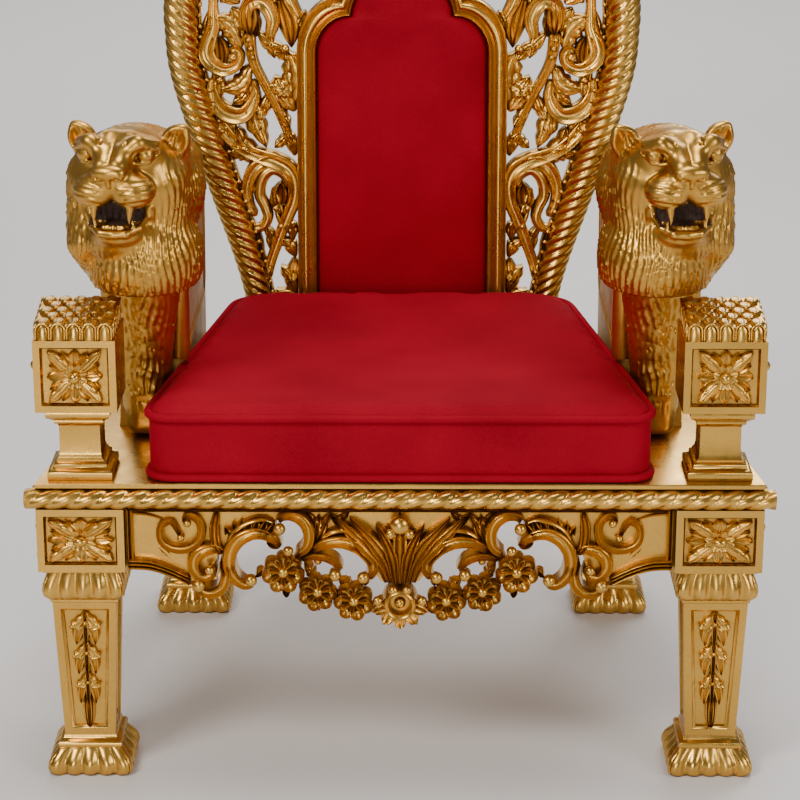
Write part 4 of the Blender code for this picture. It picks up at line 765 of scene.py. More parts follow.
def apron_half():
    """Left half of the pierced apron, in millimetres across from the middle, up from the floor and out."""
    out = []
    deep = 36
    top = 362.2
    edge = -339.7

    def plate(points, thick):
        out.append(tube([[(x, z, o) for x, z in mm(*points)] for o in (0.0, thick / 1000)]))

    def scroll(points, widths, depth=deep, profile=COVE, flip=False):
        out.append(band(mm(*points), [w / 1000 for w in widths], depth / 1000, profile, flip=flip))

    def frond(base, tip, width, depth, bend=0.0, lobes=3, curl=0.0, ribs=0.5, cup=0.0, steps=24,
              half_cross=7):
        out.append(leaf(*mm(base, tip), width / 1000, depth / 1000, bend / 1000, lobes, curl, ribs, cup,
                        steps, half_cross))

    def bead(x, z, o, r):
        out.append(ball((x / 1000, z / 1000, o / 1000), r / 1000))

    plate([(-340, 282), (-300, 279), (-262, 262), (-236, 268), (-226, 300), (-224, 362), (-340, 362)], 17)
    for x in (-336.5, -331.5):
        scroll([(x, 282.5), (x, top)], [2.3, 2.3], 27, ROUND)
    plate([(-228, 362), (-228, 300), (-212, 290), (-208, 306), (-195, 322), (-176, 329), (-152, 316),
           (-153, 345), (-144, 352), (-130, 353), (-117, 345), (-112, 328), (-113, 308), (-92, 316),
           (-70, 318), (-50, 310), (-37, 296), (-34, 276), (-24, 262), (1, 262), (1, 362)], 16)
    for shift, wide in ((0.0, 2.6), (5.2, 2.2), (9.8, 2.6)):
        low_edge = [(-338, 283), (-309, 281), (-284, 272), (-260, 259)]
        scroll([(x, z + shift) for x, z in low_edge], [wide, wide, wide * 0.8], 30, ROUND)
    scroll([(-336, 354), (-312, 351), (-292, 345)], [3, 2], 24, ROUND)
    scroll([(edge + 2, top - 3), (1, top - 3)], [3.4, 3.4], 26, RIDGES)
    # the curl on the plate beside the leg
    scroll([(-271, 322), (-275, 332), (-283, 344), (-294, 339), (-297, 327), (-293, 315), (-280, 308),
            (-264, 308), (-250, 317), (-245, 332), (-249, 346), (-260, 352), (-266, 345), (-261, 340)],
           [3, 4.5, 5.5, 6, 6, 5, 4], deep * 0.86, COVE, True)
    bead(-271, 322, 24, 4.8)
    bead(-262.5, 342, 26, 5)
    frond((-301, 311), (-284, 293), 12, 22, 0, 2)
    scroll([(-218, 302), (-229, 309), (-245, 306), (-255, 295), (-255, 281), (-246, 271), (-236, 272),
            (-232, 280), (-237, 285)], [4, 7, 8.5, 8.5, 8, 6.5, 4], deep, COVE, True)
    bead(-235.5, 282.5, 33, 6.2)
    scroll([(-221, 292), (-216, 276), (-220, 258), (-233, 249), (-246, 251), (-252, 260)],
           [4.5, 6.5, 7.5, 7.5, 6.5, 5], deep * 0.96)
    bead(-249.5, 262, 32, 8.5)
    # the great C-scroll, fringed with short leaves
    scroll([(-147, 309), (-158, 323), (-178, 330), (-197, 323), (-209, 307), (-212, 288), (-206, 270),
            (-193, 259), (-181, 262)], [3.5, 6, 7.5, 8.5, 9, 9, 8, 6.5, 5], deep, COVE, True)
    bead(-184.5, 269.5, 33, 7.8)
    frond((-148.5, 309), (-165.5, 315), 13, 30, 0, 0)
    for i in range(7):
        share = i / 6
        base = (-214 + 45 * share, 312 + 18 * math.sin(math.pi * (0.25 + 0.5 * share)))
        tip = (-216 + 62 * share, 326 + 23 * math.sin(math.pi * (0.12 + 0.62 * share)) ** 0.8)
        frond(base, tip, 11, 33, -2, 0, 0.002, 1.0, 0.1, 14, 4)
    scroll([(-213, 313), (-206, 330), (-190, 342), (-170, 347), (-155, 342)], [3, 4.5, 4.5, 3], 30, ROUND)
    scroll([(-226, 354), (-229, 336), (-228, 316), (-221, 300)], [4.5, 6.5, 6.5, 4.5], 29, RIDGES)
    scroll([(-151, 343), (-145, 351), (-131, 353), (-118, 345), (-112, 329), (-116, 311), (-129, 299)],
           [4, 5.5, 7, 7.5, 7.5, 6.5, 4.5])
    bead(-148.5, 337.5, 32, 7.8)
    bead(-138, 307.5, 30, 6.6)
    # the arch beside the middle
    scroll([(-110, 306), (-93, 316), (-71, 319), (-50, 311), (-36, 296), (-33, 280), (-40, 268)],
           [4, 6.2, 7.5, 8, 8, 7, 5])
    bead(-45.5, 273.5, 33, 7.8)
    scroll([(-99, 320), (-82, 331), (-62, 331), (-45, 321)], [3, 4.5, 4, 2], 29, ROUND)
    scroll([(-122, 292), (-109, 298), (-94, 298), (-80, 291), (-72, 279)], [3, 4.2, 4.8, 4.8, 4], deep * 0.88)
    bead(-80.5, 275.5, 29, 8)
    bead(-102, 289, 16, 5)
    for base, tip, width, depth, bend, lobes in (
            ((-100, 318), (-84, 355), 16, 30, 3, 2), ((-108, 315), (-100, 352), 16, 29, -2, 2),
            ((-96, 330), (-116, 355), 14, 28, 0, 2), ((-82, 338), (-62, 355), 14, 28, 0, 2),
            ((-66, 332), (-86, 352), 14, 30, 0, 0)):
        frond(base, tip, width, depth, bend, lobes, 0, 0.8)
    # the garland
    for (x, z), radius, start in (((-145, 277.5), 25.5, 90), ((-102.5, 251.5), 23.5, 100),
                                  ((-57.5, 239.5), 24, 80)):
        out.extend(blossom((x / 1000, z / 1000), radius / 1000, 7, deep * 0.96 / 1000, start))
    frond((-142.5, 262), (-141, 241.5), 15, 30, 0, 0, 0, 1.0)
    frond((-104, 245), (-101, 223.5), 14, 28, 0, 0, 0, 1.0)
    bead(-27.5, 240.5, 28, 6.4)
    for base, tip, width, depth, lobes in (
            ((-118, 286), (-106, 262), 16, 24, 3), ((-124, 300), (-130, 280), 14, 24, 3),
            ((-76, 262), (-60, 252), 16, 22, 3), ((-86, 262), (-81, 275), 10, 22, 0),
            ((-46, 256), (-40, 270), 14, 24, 0), ((-170, 276), (-180, 268), 10, 24, 0)):
        frond(base, tip, width, depth, 0, lobes)
    # the fan of long leaves over the middle
    for reach, line, wide in ((1.00, [(-15, 262), (-23, 286), (-42, 311), (-70, 339), (-80, 350)], 8.2),
                              (1.08, [(-10, 262), (-17, 292), (-32, 317), (-52, 338), (-62, 348)], 7.8),
                              (1.14, [(-5, 262), (-9, 298), (-18, 322), (-30, 339)], 7.0)):
        scroll(line, [wide * 0.55, wide * 0.9, wide * 1.15, wide * 0.9, wide * 0.25], deep * reach, RIDGES)
    return out


def apron():
    back = SEAT_FRONT_Y + APRON_INSET + APRON_THICKNESS
    left = apron_half()
    work = Carving()
    work.add_all(left, lambda x, z, o: (x, back - o, z - GAP))
    work.add_all(left, lambda x, z, o: (-x, back - o, z - GAP), flip=True)
    deep = 0.037
    eye = (0, 0.2365)
    middle = [band(mm((0, 262), (0, 300), (0, 322), (0, 334)), [.005, .0065, .0095, .0090], deep * 1.16,
                   RIDGES)]
    for x, z, r in ((0, 0.3415, 0.0125), (-0.0110, 0.330, 0.0070), (0.0110, 0.330, 0.0070)):
        middle.append(ball((x, z, deep * 0.86), r, 0.75))
    middle.append(ring_body(eye, 0.0168, 0.0105, deep * 1.02))
    turns = np.linspace(0, 2 * math.pi, 24, endpoint=False)
    middle.append(tube([[(0.013 * math.cos(a), eye[1] + 0.013 * math.sin(a), o) for a in turns]
                        for o in (0.0, deep * 0.62)]))
    middle.append(ball((*eye, deep * 0.66), 0.0072))
    for sign in (-1, 1):
        middle.append(ball((sign * 0.0085, 0.2555, deep * 0.86), 0.0062))
    for i in range(5):
        middle.append(petal(eye, math.radians(-90 + (i - 2) * 34), 0.012, 0.0385, 0.0200, deep * 0.90, 0.22))
    work.add_all(middle, lambda x, z, o: (x, back - o, z - GAP))
    return work.piece("carved_front_apron", GOLD, ["front_apron"], angle=50)


# Back

def on_back(x, z, out):
    return (x, BACK_FRONT_Y + BACK_DEPTH - out + (z - DECK_TOP) * LEAN, z)


def rope_path():
    low = DECK_TOP + GAP
    foot, wide, widest, high = 0.195, 0.308, 0.860, 1.235
    flare = wide - foot
    rise = widest - low
    lower = [(foot, low), (foot + flare * 0.14, low + rise * 0.22), (foot + flare * 0.55, low + rise * 0.53),
             (wide - flare * 0.07, low + rise * 0.83), (wide, widest)]
    path = smooth_path(lower, 0.004)
    turn = np.linspace(0, math.pi / 2, 60)[1:]
    arc = np.stack((wide * np.cos(turn), widest + (high - widest) * np.sin(turn)), axis=1)
    return even(np.vstack((path, arc)), 0.0026)


def rope_radius(share):
    return 0.0175 + (0.024 - 0.0175) * np.minimum(1.0, 2 * share)


def back_rope(word, mirror):
    path = rope_path()
    side = across(path)
    share = np.linspace(0, 1, len(path))
    radius = rope_radius(share)
    keep = path[:, 0] > 0.050
    path, side, radius = path[keep], side[keep], radius[keep]
    far = np.concatenate(([0], np.cumsum(np.linalg.norm(np.diff(path, axis=0), axis=1))))
    turn = np.linspace(0, 2 * math.pi, 56, endpoint=False)[None]
    bump = twist_bump(turn - 2 * math.pi * far[:, None] / 0.105, 7, 0.24)
    reach = radius[:, None] * bump * 1.02
    flat = path[:, None] + side[:, None] * (reach * np.cos(turn))[..., None]
    out = np.maximum(RIM_DEPTH * 0.55 + radius[:, None] * 0.45 + reach * np.sin(turn), 0.001)
    x, y, z = on_back(flat[..., 0], np.maximum(flat[..., 1], DECK_TOP + GAP), out)
    work = Carving()
    work.add(tube(np.stack((x, y, z), axis=-1)))
    return work.piece("twisted_back_rope_" + word, GOLD, ["back_rope_" + word], mirror,
                      angle=60)


def panel_outline(offset):
    half = 0.120 + offset
    low = DECK_TOP + GAP
    cusp = (0.072 + offset * 0.62, 0.866 + offset * 0.95)
    spring = 0.815
    right = [(half, z) for z in np.linspace(low, spring, 12)]
    for turn in np.linspace(0, math.pi / 2, 14)[1:]:
        right.append((cusp[0] + (half - cusp[0]) * math.cos(turn),
                      spring + (cusp[1] - spring) * math.sin(turn)))
    peak = 0.985 + offset * 1.25
    for share in np.linspace(0, 1, 10)[1:-1]:
        bow = 0.008 * math.sin(2 * math.pi * share)
        right.append((cusp[0] * (1 - share) + bow, cusp[1] + (peak - cusp[1]) * share))
    right.append((0.0, peak))
    return right + [(-x, z) for x, z in right[-2::-1]]


MOULDING = ((0, 0), (0, .66), (.02, .76), (.07, .82), (.12, .78), (.15, .70), (.19, .66), (.24, .70),
            (.32, .80), (.42, .93), (.54, 1.0), (.64, .99), (.72, .90), (.78, .78), (.82, .69), (.86, .67),
            (.89, .72), (.94, .76), (.98, .72), (1, .6), (1, 0))


def panel_frame():
    width, deep = 0.027, 0.033
    rings = []
    for offset, out in MOULDING:
        rings.append([(x, z, BACK_DEPTH - 0.030 + deep * out) for x, z in panel_outline(width * offset)])
    return tube(np.array(rings).transpose(1, 0, 2))


def foliage_half():
    """Right half of the pierced foliage, between the twisted border and the panel."""
    out = []
    deep = 0.023

    def scroll(points, widths, depth=deep, profile=COVE, flip=False):
        out.append(band(mm(*points), [w * 1.22 / 1000 for w in widths], depth, profile, 0.003, None, flip))

    def frond(base, tip, width, bend=0.0, lobes=3, depth=deep * 0.9, curl=0.004, ribs=0.7):
        far = (tip[0] + 0.10 * (tip[0] - base[0]), tip[1] + 0.10 * (tip[1] - base[1]))
        out.append(leaf(*mm(base, far), width * 1.36 / 1000, depth, bend * 1.3 / 1000, lobes + (lobes > 2),
                        curl, ribs, 0.1))

    def bead(x, z, r, o=deep * 0.8):
        out.append(ball((x / 1000, z / 1000, o), r / 1000))

    # upper S-scroll beside the rope, and its eye
    scroll([(262, 905), (263, 876), (263, 850), (269, 831), (273, 814), (266, 799), (251, 790), (237, 792),
            (227, 801), (227, 812), (235, 817), (242, 811)], [5, 5.5, 6, 7.5, 9, 10.5, 10.5, 9, 7.5, 6, 5, 4],
           deep, COVE, True)
    bead(236, 806, 6.5)
    frond((252, 792), (256, 832), 17, 2, 0)
    frond((262, 800), (264, 832), 12, -1, 0)
    bead(255, 775, 5.5, deep * 0.7)
    # crescent scroll
    scroll([(267, 777), (266, 758), (258, 739), (243, 728), (226, 726), (213, 737), (206, 756), (208, 775)],
           [4, 7, 9.5, 10.5, 10, 8.5, 6, 3], deep, COVE, True)
    frond((210, 792), (251, 764), 26, -10, 3)
    frond((213, 762), (236, 744), 14, -3, 2)
    # sheath and arch
    scroll([(214, 842), (218, 862), (213, 878), (199, 884), (187, 876), (180, 858), (183, 840), (182, 828)],
           [6, 7.5, 8.5, 9.5, 10, 9, 7.5, 4], deep * 1.05, COVE, False)
    frond((224, 818), (256, 860), 30, 6, 3)
    frond((222, 840), (236, 872), 22, 3, 2)
    frond((202, 840), (168, 818), 16, 4, 2)
    frond((186, 838), (178, 808), 13, 2, 2)
    bead(163, 819, 6.5)
    frond((176, 826), (162, 804), 15, 2, 2)
    frond((213, 886), (212, 842), 22, 0, 0, deep * 1.05)
    frond((216, 872), (224, 836), 12, 2, 0)
    frond((210, 872), (203, 838), 12, -2, 0)
    for z, r in ((831, 3.6), (819, 4.0), (807, 3.4)):
        bead(205.5 + (z - 795) * 0.24, z, r, deep * 0.92)
    scroll([(214, 842), (211, 816), (206, 795), (193, 769), (177, 738), (164, 708), (152, 678)],
           [7.5, 6.5, 5.5, 5, 5, 5, 4.5], deep * 0.95, RIDGES)
    frond((168, 886), (155, 826), 24, -3, 0, deep)
    # leaves against the panel
    frond((150, 742), (158, 808), 34, 6, 3)
    frond((146, 772), (184, 766), 26, -6, 3)
    frond((150, 730), (176, 776), 24, -4, 3)
    frond((212, 774), (192, 688), 26, 6, 3)
    frond((206, 748), (208, 700), 18, -3, 2)
    # lower S-leaf into the hook arch
    scroll([(274, 742), (258, 716), (240, 693), (220, 677), (199, 668), (178, 661), (160, 650), (151, 632),
            (152, 608), (160, 586), (170, 562), (179, 538), (187, 514), (192, 492)],
           [8, 9, 8.5, 8, 8, 9.5, 10, 9, 8, 7.5, 7, 6.5, 6, 6], deep, COVE, True)
    frond((202, 670), (228, 706), 20, -7, 2, deep, 0.006)
    frond((206, 662), (240, 672), 22, 4, 3)
    scroll([(172, 658), (188, 661), (204, 654), (214, 640), (219, 620), (215, 598), (206, 582)],
           [5, 8, 8.5, 7.5, 6.5, 5.5, 4], deep * 0.95, COVE, False)
    scroll([(161, 622), (167, 640), (181, 649), (193, 643), (200, 629), (201, 611), (194, 596), (190, 580),
            (198, 566), (213, 564)], [4, 6, 7.5, 8, 7.5, 7, 6.5, 6.5, 6, 4.5], deep * 0.9, ROUND)
    frond((173, 596), (171, 628), 19, 0, 0, deep)
    bead(178, 595, 4.5)
    scroll([(178, 592), (175, 580), (172, 570)], [3.5, 3.5, 3], deep * 0.7, ROUND)
    bead(171, 569, 4)
    frond((154, 548), (160, 575), 14, 2, 2)
    frond((150, 524), (170, 548), 17, 3, 2)
    frond((152, 522), (158, 490), 18, -2, 2)
    frond((150, 470), (170, 508), 17, 2, 2)
    frond((204, 560), (199, 520), 9, 0, 0)
    frond((206, 470), (196, 516), 16, 3, 2)
    frond((150, 430), (176, 474), 20, 4, 3)
    scroll([(142, 452), (162, 470), (184, 462), (198, 436)], [5, 7, 6, 5], deep * 0.9, COVE)
    # leaves that lie over the stems
    frond((258, 742), (262, 790), 17, 3, 2)
    frond((238, 690), (252, 722), 18, 3, 3)
    frond((176, 740), (158, 712), 15, 2, 2)
    frond((186, 756), (202, 722), 15, -2, 2)
    frond((160, 700), (178, 682), 13, -2, 2)
    frond((150, 668), (166, 700), 16, 3, 2)
    frond((183, 622), (170, 588), 15, 2, 2)
    frond((196, 640), (212, 616), 12, 2, 2)
    frond((268, 870), (278, 832), 13, -2, 2)
    frond((196, 880), (176, 900), 18, 3, 3)
    frond((226, 880), (252, 904), 20, -4, 3)
    frond((150, 840), (136, 868), 16, 2, 2)
    frond((184, 530), (192, 566), 13, 2, 2)
    # above the picture: two more scrolls climb to the crest
    scroll([(300, 908), (276, 948), (236, 966), (200, 950), (190, 920), (206, 900), (228, 906), (228, 924)],
           [6, 9, 10, 9, 8, 7, 6, 4], deep, COVE, False)
    bead(222, 918, 7)
    frond((262, 958), (232, 926), 26, 5, 3)
    scroll([(142, 856), (160, 900), (152, 955), (168, 1006), (206, 1024), (232, 1004), (226, 980),
            (208, 982)],
           [6, 8, 9, 10, 9, 8, 7, 4], deep, COVE, True)
    bead(214, 992, 7)
    frond((154, 930), (192, 906), 24, 5, 3)
    frond((160, 985), (122, 1022), 28, -7, 3)
    frond((198, 1018), (258, 1058), 32, 8, 3)
    scroll([(100, 905), (108, 960), (86, 1010), (98, 1066), (138, 1092), (164, 1072), (154, 1050),
            (138, 1056)],
           [6, 8, 9, 10, 9, 8, 6, 4], deep, COVE, True)
    bead(144, 1064, 7)
    frond((90, 1036), (52, 1076), 30, -6, 3)
    frond((118, 1088), (172, 1142), 32, 6, 3)
    frond((98, 925), (42, 1048), 36, -6, 4)
    return out


def crest():
    bodies = []
    top = 1.235
    for i in range(7):
        share = 2 * i / 6 - 1
        turn = math.pi / 2 - share * math.radians(62)
        reach = 0.130 * (1 - 0.30 * abs(share))
        tip = (reach * math.cos(turn), top + reach * math.sin(turn))
        bodies.append(leaf((0.016 * math.cos(turn), top + 0.004), tip, 0.040, 0.036, -0.010 * share, 0, 0.006,
                           1.0, 0.25, 30, 9))
    for share in (-1, 0, 1):
        tip = (share * 0.044, top - 0.115 + 0.020 * abs(share))
        bodies.append(leaf((share * 0.010, top - 0.010), tip, 0.036, 0.030, 0.006 * share, 3, 0.004))
    bodies.append(ball((0, top, BACK_DEPTH), 0.026, 0.9, 24, 16))
    bodies.append(ring_body((0, top), 0.030, 0.010, BACK_DEPTH * 0.95))
    bodies.append(ball((0, top, 0.012), 0.036, 0.30, 24, 8))
    bodies.append(band([(0, 0.995), (0, 1.145)], [0.012, 0.012], 0.022, RIDGES))
    return bodies


def back_frame():
    work = Carving()
    path = rope_path()
    side = across(path)
    radius = rope_radius(np.linspace(0, 1, len(path)))
    inner = path + side * (radius + 0.0045)[:, None]
    outer = path - side * (radius * 0.86)[:, None]
    rings = []
    for a, b in zip(outer[::4], inner[::4]):
        rings.append([(*a, 0.0), (*b, 0.0), (*b, RIM_DEPTH * 0.55), (*a, RIM_DEPTH * 0.55)])
    half = [tube(rings)]
    bead_line = path + side * (radius + 0.0020)[:, None]
    half.append(band(even(bead_line, 0.02), [0.0022, 0.0022], RIM_DEPTH * 0.80, ROUND, 0.006))
    for spot in even(bead_line, 0.0150)[1:-3]:
        half.append(ball((spot[0], spot[1], RIM_DEPTH * 0.86), 0.0036, 0.9, 10, 6))
    half += [(np.asarray(points) + (0, 0, FOLIAGE_LIFT), faces) for points, faces in foliage_half()]
    clamp = DECK_TOP + GAP

    def place(x, z, out):
        return on_back(x, np.maximum(z, clamp), out)
    work.add_all(half, place)
    work.add_all(half, lambda x, z, out: place(-x, z, out), flip=True)
    work.add(panel_frame(), place)
    work.add_all(crest(), place)
    return work.piece("carved_back_frame", GOLD, ["back_frame"], angle=50)


def back_panel():
    board = Carving()
    front = BACK_DEPTH - 0.030 - 0.002
    rings = []
    for offset, out in ((0.0045, front - 0.012), (0.006, front - 0.0105), (0.006, front - 0.0015),
                        (0.0045, front)):
        rings.append([on_back(x, max(z, DECK_TOP + 2 * GAP), out) for x, z in panel_outline(offset)])
    board.add(tube(rings))
    board.piece("panelled_back_board", OLD_GOLD, ["back_board"], angle=30)
    pad = Carving()
    outline = np.array(panel_outline(-0.0015))
    heart = np.stack((0 * outline[:, 0], np.clip(outline[:, 1], 0.50, 0.88)), axis=1)
    rings = []
    for share, out in ((1.0, 0.0), (1.0, 0.014), (0.992, 0.0185), (0.975, 0.0215), (0.94, 0.0240),
                       (0.86, 0.0268), (0.72, 0.0288), (0.5, 0.0300), (0.25, 0.0305), (0.02, 0.0305)):
        ring = heart + (outline - heart) * share
        x, y, z = on_back(ring[:, 0], np.maximum(ring[:, 1], DECK_TOP + 2 * GAP), 0.0083 + out)
        rings.append(np.stack((x, y, z), axis=1))
    pad.add(tube(rings))
    item = pad.piece("velvet_back_pad", VELVET, ["back_pad"], angle=70)


# Seat cushion

def cushion_line(grow):
    corner = 0.045
    front = SEAT_FRONT_Y + 0.004 - grow
    rear = front + CUSHION_DEPTH + 2 * grow
    half_front, half_rear = CUSHION_FRONT_HALF + grow, CUSHION_REAR_HALF + grow
    corners = [np.array(c) for c in ((-half_front, front), (half_front, front), (half_rear, rear),
                                     (-half_rear, rear))]
    line = []
    for i, spot in enumerate(corners):
        before = corners[i - 1] - spot
        after = corners[(i + 1) % 4] - spot
        start = spot + before / np.linalg.norm(before) * corner
        end = spot + after / np.linalg.norm(after) * corner
        for t in np.linspace(0, 1, 10):
            line.append(start * (1 - t) ** 2 + spot * 2 * t * (1 - t) + end * t * t)
    return np.array(line)


def piping(line, z, radius):
    closed = np.vstack((line, line[:1]))
    path = even(closed, 0.006)[:-1]
    ahead = np.roll(path, -1, axis=0) - np.roll(path, 1, axis=0)
    ahead /= np.linalg.norm(ahead, axis=1)[:, None]
    side = np.stack((ahead[:, 1], -ahead[:, 0]), axis=1)
    turn = np.linspace(0, 2 * math.pi, 12, endpoint=False)
    x = path[:, None, 0] + side[:, None, 0] * radius * np.cos(turn)
    y = path[:, None, 1] + side[:, None, 1] * radius * np.cos(turn)
    height = z + radius * np.sin(turn)[None] + 0 * x
    return looped(np.stack((x, y, height), axis=-1))


def cushion():
    rings = []
    for z, grow in ((CUSHION_LOW, -0.012), (CUSHION_LOW + 0.003, -0.004), (CUSHION_LOW + 0.008, -0.002),
                    (CUSHION_HIGH - 0.008, -0.002), (CUSHION_HIGH - 0.003, -0.004),
                    (CUSHION_HIGH - 0.001, -0.012)):
        rings.append([(x, y, z) for x, y in cushion_line(grow)])
    work = Carving()
    work.add(tube(rings))
    item = work.piece("velvet_seat_cushion", VELVET, ["seat_cushion"], angle=70)
    remesh = item.modifiers.new("cloth_grid", "REMESH")
    remesh.mode = "VOXEL"
    remesh.voxel_size = 0.008
    bake(item)
    before = corners_of(item)
    swell(item)
    after = corners_of(item)
    move = after - before
    flat = before[:, :2] - np.array((0.0, before[:, 1].mean()))
    away = flat / np.maximum(np.linalg.norm(flat, axis=1), 1e-6)[:, None]
    sideways = np.clip((move[:, :2] * away).sum(axis=1), 0.0, 0.004)
    spot = before.copy()
    spot[:, :2] += away * sideways[:, None]
    spot[:, 2] = np.maximum(spot[:, 2] + np.clip(move[:, 2], 0.0, 0.008), CUSHION_LOW)
    item.data.vertices.foreach_set("co", spot.reshape(-1))
    bake(item)
    item.data.materials.clear()
    item.data.materials.append(VELVET)
    item.data.shade_smooth()
    cord = Carving()
    for z in (CUSHION_LOW + 0.0055, CUSHION_HIGH - 0.0065):
        cord.add(piping(cushion_line(-0.0012), z, 0.0050))
    cord.piece("velvet_cushion_piping", VELVET, [], angle=70)


def corners_of(item):
    spots = np.empty(len(item.data.vertices) * 3)
    item.data.vertices.foreach_get("co", spots)
    return spots.reshape(-1, 3)


def bake(item):
    context = bpy.context.evaluated_depsgraph_get()
    mesh = bpy.data.meshes.new_from_object(item.evaluated_get(context))
    item.modifiers.clear()
    item.data = mesh


def swell(item):
    """The filling presses the cover out between its seams."""
    cloth = item.modifiers.new("cover", "CLOTH")
    cloth.settings.use_pressure = True
    cloth.settings.uniform_pressure_force = 4.0
    cloth.settings.effector_weights.gravity = 0.0
    cloth.settings.quality = 5
    cloth.settings.mass = 0.3
    cloth.collision_settings.use_collision = False
    cloth.point_cache.frame_start = 1
    cloth.point_cache.frame_end = 20
    for number in range(1, 21):
        bpy.context.scene.frame_set(number)
    bake(item)
    bpy.context.scene.frame_set(1)


# Lions

def ellipsoid(p, centre, radii):
    q = (p - np.array(centre)) / np.array(radii)
    length = np.sqrt((q * q).sum(axis=-1))
    slope = np.sqrt(((q / np.array(radii)) ** 2).sum(axis=-1)) + 1e-9
    return length * (length - 1.0) / slope


def capsule(p, start, end, r0, r1):
    start = np.array(start)
    line = np.array(end) - start
    t = np.clip(((p - start) @ line) / (line @ line), 0, 1)
    gap = p - (start + t[..., None] * line)
    return np.sqrt((gap ** 2).sum(axis=-1)) - (r0 + (r1 - r0) * t)


def rounded_box(p, low, high, radius):
    low, high = np.array(low), np.array(high)
    q = np.abs(p - (low + high) / 2) - (high - low) / 2 + radius
    return np.sqrt((np.maximum(q, 0) ** 2).sum(axis=-1)) + np.minimum(q.max(axis=-1), 0) - radius


def blend(a, b, radius):
    h = np.maximum(radius - np.abs(a - b), 0) / radius
    return np.minimum(a, b) - h * h * radius / 4


def cut(a, b, radius):
    return -blend(-a, b, radius)


def chain(form, p, spots, radii, soft):
    for i in range(len(spots) - 1):
        form = blend(form, capsule(p, spots[i], spots[i + 1], radii[i], radii[i + 1]), soft)
    return form


def step_up(x, low, high):
    t = np.clip((x - low) / (high - low), 0, 1)
    return t * t * (3 - 2 * t)


